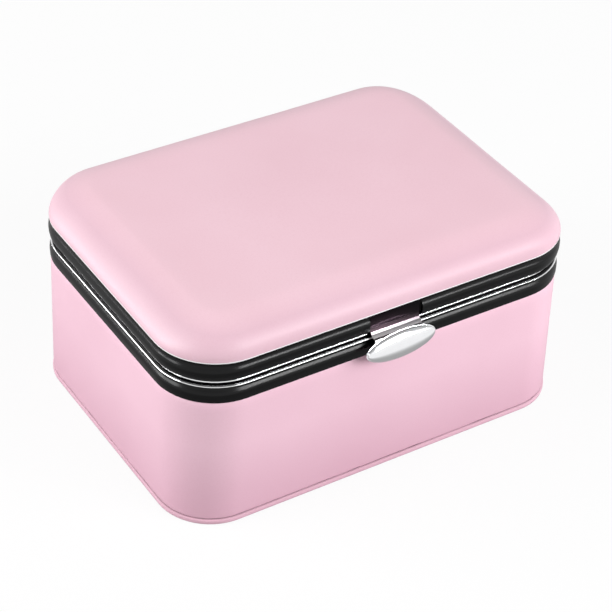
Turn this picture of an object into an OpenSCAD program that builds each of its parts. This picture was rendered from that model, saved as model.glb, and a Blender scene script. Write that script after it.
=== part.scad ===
// Leather jewellery case: a leather covered box with rounded corners, a padded hinged lid, two black
// rim frames with chrome inlay that meet at the parting line, a press-down catch with an oval thumb
// piece, and a lift-out tray with ring rolls over a divided lower space. Lengths are millimetres.
// The case stands on z = 0, its front faces -Y and the hinges are at +Y.

/* [Case] */
// Width of the leather body, left to right
case_width = 160; // [130:1:220]
// Depth of the leather body, front to back
case_depth = 117; // [100:1:170]
// Radius of the upright corners
corner_radius = 22.5; // [19:0.5:30]
// Height of the top face of the base, the parting line
parting_height = 60; // [54:0.5:80]
// Gap between the two rim frames when the lid is shut
parting_gap = 0.4; // [0.3:0.05:1]

/* [Boards and leather] */
// Thickness of the board in the base walls and floor
board_thickness = 2.4; // [1.6:0.1:3.5]
// Thickness of the board in the lid walls
lid_wall_thickness = 2.4; // [1.6:0.1:3.5]
// Thickness of the board in the top of the lid
lid_board_thickness = 2; // [1.5:0.1:3]
// Thickness of the leather
leather_thickness = 0.8; // [0.5:0.05:1.4]
// Thickness of the covered panel under the base
bottom_panel_thickness = 2; // [1.4:0.1:4]
// How far the bottom panel stands out past the leather walls
bottom_panel_lip = 0.3; // [0:0.05:1]
// Rounding cut along the lower edge of the bottom panel
bottom_panel_chamfer = 0.5; // [0.2:0.05:1]
// Open seam between the bottom panel and the wall leather
bottom_seam = 0.35; // [0.1:0.05:1]
// How far the lid leather stands out past the base leather
lid_overhang = 0.2; // [0:0.05:0.6]
// Upright flank of the lid leather, below the padded edge
lid_flank = 1; // [0.8:0.1:5]
// Width of the soft rounded edge round the padded top
pad_edge_width = 16; // [9:0.5:17]
// Rise of the padded top above the flank
pad_rise = 10.2; // [5:0.1:14]
// Fullness of the padded edge, 2 is an ellipse
pad_fullness = 1.8; // [1.6:0.1:3]
// Thickness of the velvet lining
lining_thickness = 0.8; // [0.4:0.1:1.5]

/* [Rim frames] */
// Height of the black band of the base, up to its chrome inlay
base_band_height = 6.1; // [4.5:0.1:9]
// How far the black band of the base swells outward
base_band_bulge = 0.9; // [0.4:0.05:1]
// Height of the chrome inlay of the base
base_inlay_height = 0.7; // [0.5:0.05:1.2]
// Height of the black band of the lid, above its chrome inlay
lid_band_height = 8; // [7:0.1:11]
// How far the black band of the lid swells outward
lid_band_bulge = 1.55; // [0.8:0.05:2]
// How far the foot of the lid band is drawn in from the body
lid_band_waist = 1.15; // [0.8:0.05:2.2]
// Height of the chrome inlay of the lid
lid_inlay_height = 1; // [0.6:0.05:1.3]
// Depth of both chrome inlays
inlay_depth = 0.55; // [0.4:0.05:0.7]
// Thickness of the frame over the top of a wall
frame_flange = 1.5; // [1.3:0.1:2.5]
// Thickness of the lip that hooks over the inside of a wall
frame_lip = 1.3; // [1:0.1:2]
// Reach of the lip down the inside of the base wall
base_lip_depth = 1.5; // [1:0.1:4]
// Reach of the lip up the inside of the lid wall
lid_lip_depth = 2.2; // [1:0.1:4]

/* [Hinges] */
// Distance between the two hinges, centre to centre
hinge_spacing = 84; // [60:1:110]
// Width of one hinge
hinge_width = 20; // [14:0.5:28]
// Width of the middle knuckle
hinge_middle = 7.4; // [5:0.1:10]
// Radius of the hinge barrel
barrel_radius = 1.7; // [1.4:0.05:1.8]
// Radius of the hinge pin
pin_radius = 0.8; // [0.6:0.05:0.9]
// Distance of the hinge pin behind the leather body
pin_offset = 1.35; // [1.3:0.05:1.8]
// Thickness of a hinge leaf
leaf_thickness = 0.6; // [0.4:0.05:0.8]
// Length of a hinge leaf over the frame
leaf_length = 4.2; // [3.8:0.1:4.3]
// Length of the stop heel, from the pin
heel_length = 2.7; // [2.5:0.05:3]
// Thickness of the stop heel
heel_thickness = 0.8; // [0.5:0.05:1]
// Slope of the stop heel above level when shut
heel_angle = 14; // [12:1:24]
// Radius of a rivet shank
rivet_radius = 0.45; // [0.3:0.05:0.5]
// Radius of a rivet head
rivet_head_radius = 0.95; // [0.7:0.05:1.1]
// Distance of a rivet from the end of its leaf
rivet_edge = 1.25; // [1:0.05:1.5]
// Distance of a rivet from the middle of its hinge
rivet_spacing = 6.8; // [4:0.1:9]

/* [Catch] */
// Width of the catch plate at its top
plate_width = 20.6; // [16:0.2:26]
// How much narrower the catch plate is from the cove down
plate_taper = 1; // [0:0.1:3]
// Gap at each side of the catch plate in its notch
notch_gap = 0.3; // [0.3:0.05:1]
// Thickness of the catch plate
plate_thickness = 0.6; // [0.4:0.05:0.7]
// Depth of the plate face behind the leather body
plate_recess = 0.5; // [0.2:0.05:0.5]
// Radius of the cove that sweeps the plate out to the thumb piece
cove_radius = 3.2; // [2.4:0.1:3.6]
// Gap between the top of the plate and the lid leather
plate_top_gap = 0.6; // [0.3:0.1:2]
// Length of the oval thumb piece
thumb_length = 27.5; // [22:0.5:36]
// Height of the oval thumb piece, along its slope
thumb_height = 9.1; // [8:0.1:12]
// Slope of the thumb piece, whose foot stands further out than its top
thumb_slope = 18; // [8:1:24]
// How far the thumb piece reaches up past the end of the cove
thumb_lap = 1.1; // [0.4:0.1:2]
// Height of the dome of the thumb piece
thumb_dome = 1.9; // [1.2:0.1:3]
// Thickness of the rim plate behind the dome
thumb_rim_thickness = 0.4; // [0.3:0.05:0.8]
// How far the rim plate stands out round the dome
thumb_rim_reach = 0.35; // [0.2:0.05:0.6]
// Thickness of the web behind the thumb piece
web_thickness = 0.5; // [0.4:0.05:0.8]
// Depth of the catch pivot behind the leather body
pivot_depth = 0.6; // [0.5:0.05:0.7]
// Height of the catch pivot above the foot of the base band
pivot_rise = 2.2; // [2.1:0.05:2.3]
// Radius of the catch pivot pin
pivot_radius = 0.6; // [0.4:0.05:0.7]
// Radius of the rounded ear ends
ear_radius = 1.3; // [1.1:0.05:1.4]
// Thickness of a lever ear
ear_thickness = 1.2; // [0.8:0.1:1.5]
// Distance between the outer faces of the two ears
ear_span = 12.8; // [11:0.1:14]
// Thickness of the bracket
bracket_thickness = 0.8; // [0.5:0.1:1]
// Half width of the window behind the thumb piece
window_half_width = 8.6; // [8.2:0.1:9.5]
// Height of the window in the base band
window_height = 4; // [3.9:0.1:4.3]
// Width of the hook nose
nose_width = 5.6; // [4:0.1:7]
// Thickness of the hook nose
nose_thickness = 1; // [0.7:0.1:1.4]
// Clearance between the hook nose and the keeper
nose_clearance = 0.2; // [0.15:0.05:0.4]
// Thickness of the keeper plate in the lid
keeper_thickness = 0.8; // [0.5:0.1:1]
// Radius of the wire of the return spring
spring_wire = 0.3; // [0.2:0.05:0.35]
// Radius of the coils of the return spring
spring_radius = 1.1; // [1:0.05:1.15]
// Full turns of the return spring
spring_turns = 4; // [2:1:5]

/* [Tray and compartments] */
// Gap all round between the tray and the rim frame lip
tray_gap = 0.7; // [0.4:0.1:2]
// Distance of the tray rim below the parting line
tray_drop = 4; // [2.5:0.5:12]
// Height of the tray itself
tray_depth = 23; // [18:0.5:24]
// Thickness of the tray walls
tray_wall = 1.4; // [1:0.1:2.5]
// Thickness of the tray floor
tray_floor = 1.6; // [1:0.1:2.5]
// Thickness of the tray lining
tray_lining_thickness = 0.6; // [0.4:0.1:1]
// Thickness of the velvet covered dividers
divider_thickness = 1.6; // [1.2:0.1:3]
// Gap between the lower dividers and the tray
divider_gap = 5.8; // [1:0.2:12]
// Distance of the long lower divider in front of the middle
lower_divider_shift = 8; // [0:0.5:14]
// Length of a tray ledge
ledge_length = 46; // [20:1:48]
// Thickness of a tray ledge
ledge_thickness = 2.6; // [2.2:0.1:5]
// Distance from the middle of the case to a ledge
ledge_start = 9; // [6:0.5:14]
// Number of ring rolls
ring_roll_count = 7; // [5:1:8]
// Distance of the top of the ring rolls below the tray rim
ring_roll_drop = 3.8; // [1:0.2:8]
// Slit between two ring rolls
ring_slit = 0.6; // [0.3:0.1:1.5]
// Length of the ring rolls
ring_roll_length = 66; // [40:1:67]
// Distance of the top of the tray dividers below the tray rim
tray_divider_drop = 3.8; // [1:0.2:10]
// Distance of the cross divider of the tray in front of the middle
tray_cross_shift = 9; // [8:0.5:16]
// Width of a ribbon pull tab
tab_width = 12; // [6:0.5:13]
// Thickness of the ribbon
ribbon_thickness = 0.6; // [0.3:0.05:0.7]
// Height of the ribbon loop above the tray rim
tab_rise = 4.5; // [2:0.5:5.5]

/* [Mirror] */
// Width of the mirror glass
mirror_width = 128; // [80:1:132]
// Depth of the mirror glass
mirror_depth = 85; // [60:1:88]
// Corner radius of the mirror glass
mirror_radius = 8; // [4:0.5:14]
// Thickness of the mirror glass
mirror_thickness = 1.8; // [1:0.1:2]
// Thickness of the padded frame round the mirror
mirror_frame_thickness = 2.8; // [2.4:0.1:3]
// How far the padded frame laps over the glass
mirror_lap = 3; // [1:0.5:5]

/* [Hidden] */
$fn = 72;

tiny = 0.01;
far = 400;
half_width = case_width / 2;
half_depth = case_depth / 2;

// Heights of the base, from the table up
wall_foot = bottom_panel_thickness;
floor_top = wall_foot + board_thickness;
lining_top = floor_top + lining_thickness;
wall_top = parting_height - frame_flange;
inlay_foot = parting_height - base_inlay_height;
band_foot = inlay_foot - base_band_height;

// Heights of the lid, from the parting line up
lid_foot = parting_height + parting_gap;
lid_inlay_top = lid_foot + lid_inlay_height;
lid_wall_foot = lid_inlay_top + 0.4 + frame_flange;
lid_band_top = lid_inlay_top + lid_band_height;
flank_top = lid_band_top + lid_flank;
case_height = flank_top + pad_rise;
lid_board_top = flank_top + leather_thickness;
lid_board_foot = lid_board_top - lid_board_thickness;
lid_panel_foot = lid_board_foot - lining_thickness;
mirror_foot = lid_panel_foot - mirror_thickness;

// Distances inward from the leather outline of the base
base_inside = leather_thickness + board_thickness;
base_lined = base_inside + lining_thickness;
base_lip_inside = base_inside + frame_lip;
lid_wall_outside = leather_thickness - lid_overhang;
lid_inside = lid_wall_outside + lid_wall_thickness;
lid_lined = lid_inside + lining_thickness;
lid_lip_inside = lid_inside + frame_lip + 0.1;
lid_inlay_back = lid_band_waist + inlay_depth;
tray_outside = base_lip_inside + tray_gap;
tray_inside = tray_outside + tray_wall;
tray_lined = tray_inside + tray_lining_thickness;

// Hinges: the axis runs along X behind the case, at the height of the parting gap
hinge_y = half_depth + pin_offset;
hinge_z = parting_height + parting_gap / 2;
scallop_radius = barrel_radius + 0.4;
knuckle_gap = 0.3;
running_gap = 0.05;
rivet_inset = leaf_length - rivet_edge;

// Catch: distances outward from the front face of the leather body
pivot_z = band_foot + pivot_rise;
cove_out = cove_radius - plate_recess;
cove_z = parting_height + plate_thickness + cove_radius;
seat_z = parting_height + plate_thickness / 2;
thumb_down = thumb_height / 2 + thumb_rim_reach - thumb_lap;
thumb_out = slope_out(seat_z - thumb_down * cos(thumb_slope));
thumb_z = seat_z - thumb_down * cos(thumb_slope);
dome_radius = (pow(thumb_height / 2, 2) + pow(thumb_dome, 2)) / (2 * thumb_dome);
thumb_front = thumb_out + dome_radius
    + (thumb_rim_thickness + thumb_dome - dome_radius) * cos(thumb_slope);
web_foot = pivot_z - ear_radius;
plate_top = lid_band_top - plate_top_gap;
notch_half = plate_width / 2 + notch_gap;
notch_depth = plate_recess + plate_thickness + 0.4;
keeper_face = lid_inside - keeper_thickness;
nose_tip = keeper_face - nose_clearance;
nose_foot = lid_wall_foot + 2;
window_top = band_foot + window_height;

// Tray
tray_top = parting_height - tray_drop;
tray_height = tray_top - tray_depth;
tray_floor_top = tray_height + tray_floor;
tray_lining_top = tray_floor_top + tray_lining_thickness;
tray_divider_height = tray_top - tray_divider_drop - tray_lining_top;
ring_roll_height = tray_top - ring_roll_drop - tray_lining_top;
divider_height = tray_height - divider_gap - lining_top;
tray_half_width = half_width - tray_lined;
tray_half_depth = half_depth - tray_lined;
ring_pitch = 2 * (tray_half_depth - 0.4) / ring_roll_count;
ring_roll_width = ring_pitch - ring_slit;
ring_start = -tray_half_width + 3 * ribbon_thickness + 0.4;
tray_long_divider = ring_start + ring_roll_length + 0.3 + divider_thickness / 2;

// The thumb piece and the hinge heels reach out by different amounts, so the whole case is
// moved along Y until its box is centred on the origin
rear_reach = pin_offset + heel_length;
front_reach = thumb_front;
centre_shift = (front_reach - rear_reach) / 2;

leather_pink = [0.93, 0.78, 0.83];
board_grey = [0.62, 0.58, 0.52];
frame_black = [0.1, 0.1, 0.11];
chrome_bright = [0.86, 0.87, 0.89];
velvet_pale = [0.88, 0.82, 0.8];

// Points of a line from one end to the other that swells to one side in the middle
function swelling(from, to, bulge, steps) =
    [for (i = [0 : steps])
        let (t = i / steps)
        [from[0] + (to[0] - from[0]) * t + 4 * bulge * t * (1 - t),
         from[1] + (to[1] - from[1]) * t]];

// Distance outward of the sloped plane behind the thumb piece, at a height; it starts at the cove
function slope_out(z) = cove_out + (seat_z - z) * tan(thumb_slope);

// Distance outward of the back of the sloped web
function web_back(z) = slope_out(z) - web_thickness / cos(thumb_slope);

// Half of an oval bead with a flat back at x
function bead(x, foot, height, out, steps) =
    [for (i = [0 : steps])
        let (a = 180 * i / steps)
        [x + out * sin(a), foot + height / 2 * (1 - cos(a))]];

// Quarter of a full oval that rises from an upright flank to a level top
function pad_curve(edge, foot, run, rise, steps) =
    [for (i = [0 : steps])
        let (a = 90 * i / steps)
        [edge - run * (1 - pow(cos(a), 2 / pad_fullness)),
         foot + rise * pow(sin(a), 2 / pad_fullness)]];

// Outline of the case, moved outward
module plan(out = 0) {
    rounded(case_width + 2 * out, case_depth + 2 * out, corner_radius + out);
}

module rounded(w, d, r) {
    square([w - 2 * r, d], center = true);
    square([w, d - 2 * r], center = true);
    for (x = [-1, 1])
        for (y = [-1, 1])
            translate([x * (w / 2 - r), y * (d / 2 - r)])
                circle(r);
}

// A slab of the case outline between two heights
module slab(out, foot, top) {
    translate([0, 0, foot])
        linear_extrude(top - foot)
            plan(out);
}

// Carries a section round the case: x is outward from the leather outline, y is height
module swept_round() {
    for (q = [[1, 1, 0], [-1, 1, 90], [-1, -1, 180], [1, -1, 270]])
        translate([q[0] * (half_width - corner_radius), q[1] * (half_depth - corner_radius), 0])
            rotate([0, 0, q[2]])
                rotate_extrude(angle = 90)
                    translate([corner_radius, 0])
                        children();
    for (turn = [0, 180])
        rotate([0, 0, turn]) {
            translate([half_width, half_depth - corner_radius, 0])
                rotate([90, 0, 0])
                    linear_extrude(case_depth - 2 * corner_radius)
                        children();
            translate([corner_radius - half_width, half_depth, 0])
                rotate([90, 0, 90])
                    linear_extrude(case_width - 2 * corner_radius)
                        children();
        }
}

// Stands the model on the origin
module in_place() {
    translate([0, centre_shift, 0])
        children();
}

// A bar along X whose section is drawn with x outward from the front face and y height
module front_bar(length) {
    translate([-length / 2, -half_depth, 0])
        mirror([0, 1, 0])
            rotate([90, 0, 90])
                linear_extrude(length)
                    children();
}

// A round bar along X
module cross_pin(y, z, r, from, to) {
    translate([from, y, z])
        rotate([0, 90, 0])
            cylinder(r = r, h = to - from);
}

module at_hinges() {
    for (side = [-1, 1])
        translate([side * hinge_spacing / 2, 0, 0])
            children();
}

// ---- Base ----

module bottom_panel() {
    edge = bottom_panel_lip;
    core = corner_radius / 2;
    color(leather_pink)
        in_place() {
            slab(-core, 0, bottom_panel_thickness);
            swept_round()
                polygon([[-core, 0],
                         [edge - bottom_panel_chamfer, 0],
                         [edge, bottom_panel_chamfer],
                         [edge, bottom_panel_thickness - 0.2],
                         [edge - 0.2, bottom_panel_thickness],
                         [-core, bottom_panel_thickness]]);
        }
}

module base_shell() {
    color(board_grey)
        in_place()
            difference() {
                slab(-leather_thickness, wall_foot, wall_top);
                slab(-base_inside, floor_top, case_height);
                catch_window(wall_top - 0.4);
            }
}

// Window behind the thumb piece, from the foot of the band up to a height
module catch_window(top) {
    front_bar(2 * window_half_width)
        polygon([[-base_inside - tiny, band_foot],
                 [5, band_foot],
                 [5, top],
                 [-base_inside - tiny, top]]);
}

module base_leather() {
    color(leather_pink)
        in_place()
            difference() {
                slab(0, wall_foot + bottom_seam, band_foot);
                slab(-leather_thickness, 0, case_height);
            }
}

module base_frame() {
    color(frame_black)
        in_place()
            difference() {
                swept_round()
                    polygon(concat(
                        [[-leather_thickness, band_foot]],
                        swelling([0, band_foot], [-0.05, inlay_foot], base_band_bulge, 8),
                        [[-inlay_depth, inlay_foot],
                         [-inlay_depth, parting_height],
                         [-base_lip_inside, parting_height],
                         [-base_lip_inside, wall_top - base_lip_depth],
                         [-base_inside, wall_top - base_lip_depth],
                         [-base_inside, wall_top],
                         [-leather_thickness, wall_top]]));
                hinge_room(parting_height - leaf_thickness, parting_height + 1);
                catch_window(window_top);
                rivet_holes(wall_top - 1, parting_height);
            }
}

// Scallop round each barrel and the shallow seat of each leaf
module hinge_room(foot, top) {
    at_hinges() {
        cross_pin(hinge_y, hinge_z, scallop_radius,
                  -hinge_width / 2 - knuckle_gap, hinge_width / 2 + knuckle_gap);
        translate([-hinge_width / 2, half_depth - leaf_length, foot])
            cube([hinge_width, leaf_length + 5, top - foot]);
    }
}

module rivet_holes(foot, top) {
    at_rivets()
        translate([0, 0, foot])
            cylinder(r = rivet_radius, h = top - foot);
}

module at_rivets() {
    at_hinges()
        for (x = [-1, 1])
            translate([x * rivet_spacing, half_depth - rivet_inset, 0])
                children();
}

module base_trim() {
    color(chrome_bright)
        in_place()
            difference() {
                swept_round()
                    polygon(bead(-inlay_depth, inlay_foot, base_inlay_height, inlay_depth, 8));
                hinge_room(band_foot, case_height);
            }
}

module base_lining() {
    color(velvet_pale)
        in_place()
            difference() {
                slab(-base_inside, floor_top, wall_top - base_lip_depth);
                slab(-base_lined, lining_top, case_height);
            }
}

module base_dividers() {
    wall_x = half_width - base_lined;
    wall_y = half_depth - base_lined;
    color(velvet_pale)
        in_place()
            translate([0, 0, lining_top]) {
                translate([-wall_x, -lower_divider_shift - divider_thickness / 2, 0])
                    cube([2 * wall_x, divider_thickness, divider_height]);
                translate([-divider_thickness / 2, -lower_divider_shift, 0])
                    cube([divider_thickness, wall_y + lower_divider_shift, divider_height]);
            }
}

module tray_ledges() {
    wall_y = half_depth - base_lined;
    color(velvet_pale)
        in_place()
            for (x = [-1, 1])
                for (y = [-1, 1])
                    translate([x * (ledge_start + ledge_length / 2),
                               y * (wall_y - ledge_thickness / 2),
                               (lining_top + tray_height) / 2])
                        cube([ledge_length, ledge_thickness, tray_height - lining_top], center = true);
}

// ---- Hinges ----

// A leaf with its knuckles; the knuckles of the other leaf get room
module leaf(foot, knuckles, others) {
    difference() {
        union() {
            translate([-hinge_width / 2, half_depth - leaf_length, foot])
                cube([hinge_width, leaf_length + pin_offset, leaf_thickness]);
            for (k = knuckles)
                cross_pin(hinge_y, hinge_z, barrel_radius, k[0], k[1]);
        }
        for (k = others)
            cross_pin(hinge_y, hinge_z, scallop_radius, k[0] - knuckle_gap, k[1] + knuckle_gap);
    }
}

function end_knuckles() =
    [[-hinge_width / 2, -hinge_middle / 2 - knuckle_gap],
     [hinge_middle / 2 + knuckle_gap, hinge_width / 2]];

function middle_knuckle() = [[-hinge_middle / 2, hinge_middle / 2]];

module hinge_base_leaves() {
    color(chrome_bright)
        in_place()
            difference() {
                at_hinges()
                    difference() {
                        leaf(parting_height - leaf_thickness, end_knuckles(), middle_knuckle());
                        cross_pin(hinge_y, hinge_z, pin_radius, -hinge_width, hinge_width);
                    }
                rivet_holes(wall_top, parting_height + 1);
                rivet_heads(parting_height - leaf_thickness / 2, parting_height + 1);
            }
}

module hinge_lid_leaves() {
    color(chrome_bright)
        in_place()
            difference() {
                at_hinges()
                    difference() {
                        union() {
                            leaf(lid_foot, middle_knuckle(), end_knuckles());
                            stop_heel();
                        }
                        cross_pin(hinge_y, hinge_z, pin_radius + running_gap,
                                  -hinge_width, hinge_width);
                    }
                rivet_holes(lid_foot - 1, lid_wall_foot);
                rivet_heads(lid_foot - 1, lid_foot + leaf_thickness / 2);
            }
}

// The heel lands on the back of the base frame and stops the lid when it is fully open
module stop_heel() {
    translate([0, hinge_y, hinge_z])
        rotate([heel_angle, 0, 0])
            translate([-hinge_middle / 2, 0, -heel_thickness / 2])
                cube([hinge_middle, heel_length - 0.1, heel_thickness]);
}

module rivet_heads(foot, top) {
    at_rivets()
        translate([0, 0, foot])
            cylinder(r = rivet_head_radius, h = top - foot);
}

module hinge_pins() {
    color(chrome_bright)
        in_place()
            at_hinges()
                cross_pin(hinge_y, hinge_z, pin_radius, -hinge_width / 2, hinge_width / 2);
}

module hinge_base_rivets() {
    color(chrome_bright)
        in_place() {
            rivet_holes(wall_top, parting_height - leaf_thickness / 2);
            rivet_heads(parting_height - leaf_thickness / 2, parting_height);
        }
}

module hinge_lid_rivets() {
    color(chrome_bright)
        in_place() {
            rivet_holes(lid_foot + leaf_thickness / 2, lid_wall_foot);
            rivet_heads(lid_foot, lid_foot + leaf_thickness / 2);
        }
}

// ---- Catch ----

module catch_bracket() {
    back = -base_inside;
    cheek = window_half_width - 0.4;
    color(chrome_bright)
        in_place()
            difference() {
                union() {
                    front_bar(2 * window_half_width)
                        polygon([[back, band_foot],
                                 [back + bracket_thickness, band_foot],
                                 [back + bracket_thickness, wall_top - 0.4],
                                 [back, wall_top - 0.4]]);
                    for (x = [-cheek, cheek - bracket_thickness]) {
                        cross_pin(pivot_depth - half_depth, pivot_z, ear_radius - 0.1,
                                  x, x + bracket_thickness);
                        translate([x, pivot_depth - half_depth, pivot_z - ear_radius + 0.1])
                            cube([bracket_thickness,
                                  base_inside - pivot_depth - bracket_thickness / 2,
                                  2 * ear_radius - 0.2]);
                    }
                }
                cross_pin(pivot_depth - half_depth, pivot_z, pivot_radius, -far, far);
            }
}

module catch_pin() {
    cheek = window_half_width - 0.4;
    color(chrome_bright)
        in_place()
            cross_pin(pivot_depth - half_depth, pivot_z, pivot_radius, -cheek, cheek);
}

// Centre line of the return spring: an upper leg, the coils round the pin and a lower leg
spring_half = 2.4;
coil_steps = 14;
coil_end = 270 + 360 * spring_turns;
coil_count = floor((coil_end - 180) / 360 * coil_steps);

function coil_point(i) =
    let (a = 180 + (coil_end - 180) * i / coil_count)
    [-pivot_depth + spring_radius * cos(a),
     pivot_z + spring_radius * sin(a),
     spring_half - 2 * spring_half * i / coil_count,
     a];

spring_path = concat(
    [[-base_inside + bracket_thickness + spring_wire + 0.05, pivot_z + 1.55, spring_half, 180]],
    [for (i = [0 : coil_count]) coil_point(i)],
    [[web_back(pivot_z - spring_radius + spring_wire) - 0.1, pivot_z - spring_radius,
      -spring_half, coil_end]]);

spring_sides = 6;

function wire_ring(p) =
    [for (k = [0 : spring_sides - 1])
        let (b = 360 * k / spring_sides)
        [p[2] + spring_wire * sin(b),
         -half_depth - p[0] - spring_wire * cos(b) * cos(p[3]),
         p[1] + spring_wire * cos(b) * sin(p[3])]];

module catch_spring() {
    rings = len(spring_path);
    last = (rings - 1) * spring_sides;
    color(chrome_bright)
        in_place()
            polyhedron(
                points = [for (p = spring_path) each wire_ring(p)],
                faces = concat(
                    [[for (k = [0 : spring_sides - 1]) k]],
                    [for (i = [0 : rings - 2])
                        for (k = [0 : spring_sides - 1])
                            let (n = (k + 1) % spring_sides, a = i * spring_sides)
                            [a + n, a + k, a + spring_sides + k, a + spring_sides + n]],
                    [[for (k = [0 : spring_sides - 1]) last + spring_sides - 1 - k]]));
}

// The lever: a plate in the notch of the lid band, a cove that sweeps out over both chrome
// lines, a sloped web that carries the thumb piece, two ears on the pivot pin and the hook nose
module catch_plate() {
    color(chrome_bright)
        in_place()
            difference() {
                union() {
                    intersection() {
                        front_bar(plate_width)
                            lever_section();
                        lever_front();
                    }
                    for (x = [-ear_span / 2, ear_span / 2 - ear_thickness])
                        ear(x);
                    hook_nose();
                }
                cross_pin(pivot_depth - half_depth, pivot_z, pivot_radius + running_gap, -far, far);
            }
}

module lever_section() {
    translate([-plate_recess - plate_thickness, cove_z - tiny])
        square([plate_thickness, plate_top - cove_z + tiny]);
    intersection() {
        translate([cove_out, cove_z])
            difference() {
                circle(cove_radius + plate_thickness);
                circle(cove_radius);
            }
        polygon([[-far, cove_z],
                 [slope_out(cove_z), cove_z],
                 [slope_out(wall_foot), wall_foot],
                 [-far, wall_foot]]);
    }
    polygon([[web_back(seat_z), seat_z],
             [slope_out(seat_z), seat_z],
             [slope_out(web_foot), web_foot],
             [web_back(web_foot), web_foot]]);
}

// Front view of the lever: it narrows from its top to the cove
module lever_front() {
    top = plate_width / 2;
    foot = top - plate_taper / 2;
    translate([0, far / 2, 0])
        rotate([90, 0, 0])
            linear_extrude(far)
                polygon([[-top, plate_top],
                         [-foot, seat_z],
                         [-foot, wall_foot],
                         [foot, wall_foot],
                         [foot, seat_z],
                         [top, plate_top]]);
}

module ear(x) {
    low = pivot_z - ear_radius + 0.1;
    high = pivot_z + ear_radius - 0.1;
    cross_pin(pivot_depth - half_depth, pivot_z, ear_radius, x, x + ear_thickness);
    translate([x + ear_thickness / 2, 0, 0])
        front_bar(ear_thickness)
            polygon([[-pivot_depth, low],
                     [web_back(low) + web_thickness / 2, low],
                     [web_back(high) + web_thickness / 2, high],
                     [-pivot_depth, high]]);
}

// The nose has a sloped top, so that the closing lid pushes it aside
module hook_nose() {
    front_bar(nose_width)
        polygon([[-plate_recess - plate_thickness / 2, nose_foot],
                 [-nose_tip, nose_foot],
                 [-nose_tip, nose_foot + nose_thickness / 3],
                 [-plate_recess - plate_thickness / 2, nose_foot + nose_thickness + 0.6]]);
}

// An oval dome on a rim plate, which lie on the slope of the web
module thumb_button() {
    color(chrome_bright)
        in_place()
            translate([0, -half_depth - thumb_out, thumb_z])
                rotate([-thumb_slope, 0, 0]) {
                    oval_dome(thumb_length + 2 * thumb_rim_reach,
                              thumb_height + 2 * thumb_rim_reach,
                              thumb_dome + thumb_rim_reach, thumb_rim_thickness);
                    translate([0, -thumb_rim_thickness, 0])
                        oval_dome(thumb_length, thumb_height, thumb_dome, thumb_dome);
                }
}

// A slice of a body whose section swells along the length
module oval_dome(length, height, rise, keep) {
    round_radius = (pow(height / 2, 2) + pow(rise, 2)) / (2 * rise);
    depth = round_radius - rise;
    sweep_radius = (pow(length / 2, 2) + pow(rise, 2)) / (2 * rise);
    intersection() {
        translate([0, depth, 0])
            rotate([0, 90, 0])
                rotate_extrude()
                    intersection() {
                        translate([round_radius - sweep_radius, 0])
                            circle(sweep_radius, $fn = 360);
                        translate([0, -length / 2])
                            square([round_radius, length]);
                    }
        translate([-length / 2, -keep, -height / 2])
            cube([length, keep, height]);
    }
}

module catch_keeper() {
    color(chrome_bright)
        in_place()
            front_bar(2 * notch_half)
                keeper_section();
}

// The keeper fills the window of the lid wall; its ledge lies just under the hook nose
module keeper_section() {
    polygon([[-lid_inside, lid_wall_foot],
             [-keeper_face, lid_wall_foot],
             [-keeper_face, nose_foot - 0.25],
             [-lid_inside + 0.1, nose_foot - 0.25],
             [-lid_inside + 0.1, nose_foot + nose_thickness + 1],
             [-keeper_face, nose_foot + nose_thickness + 1],
             [-keeper_face, lid_band_top - 0.4],
             [-lid_inside, lid_band_top - 0.4]]);
}

// ---- Lid ----

module lid_shell() {
    shoulder = leather_thickness;
    core = corner_radius / 2;
    color(board_grey)
        in_place()
            difference() {
                union() {
                    slab(-lid_wall_outside, lid_wall_foot, flank_top);
                    slab(-core, flank_top - tiny, lid_board_top);
                    swept_round()
                        polygon([[-core - tiny, flank_top],
                                 [-lid_wall_outside, flank_top],
                                 [-lid_wall_outside - shoulder, lid_board_top],
                                 [-core - tiny, lid_board_top]]);
                }
                slab(-lid_inside, 0, lid_board_foot);
                front_bar(2 * notch_half)
                    polygon([[-lid_inside - tiny, 0],
                             [5, 0],
                             [5, lid_band_top - 0.4],
                             [-lid_inside - tiny, lid_band_top - 0.4]]);
            }
}

// Inner face of the padded leather
function pad_inside() =
    pad_curve(-lid_wall_outside, flank_top, pad_edge_width - leather_thickness,
              case_height - leather_thickness - flank_top, 10);

module lid_foam() {
    core = lid_wall_outside + pad_edge_width - leather_thickness;
    shoulder = leather_thickness;
    color([0.93, 0.91, 0.86])
        in_place() {
            slab(-core, lid_board_top, case_height - leather_thickness);
            difference() {
                swept_round()
                    polygon(concat([[-core, flank_top]], pad_inside()));
                slab(-core, 0, case_height);
                slab(-lid_wall_outside - shoulder, 0, lid_board_top);
                swept_round()
                    polygon([[-core - tiny, flank_top - tiny],
                             [-lid_wall_outside, flank_top - tiny],
                             [-lid_wall_outside, flank_top],
                             [-lid_wall_outside - shoulder, lid_board_top],
                             [-core - tiny, lid_board_top]]);
            }
        }
}

module lid_leather() {
    outer = pad_curve(lid_overhang, flank_top, pad_edge_width, case_height - flank_top, 12);
    inner = pad_inside();
    core = pad_edge_width - lid_overhang;
    count = len(inner);
    color(leather_pink)
        in_place() {
            slab(-core, case_height - leather_thickness, case_height);
            swept_round()
                polygon(concat(
                    [[-lid_wall_outside, lid_band_top], [lid_overhang, lid_band_top]],
                    outer,
                    [for (i = [0 : count - 1]) inner[count - 1 - i]]));
        }
}

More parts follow.
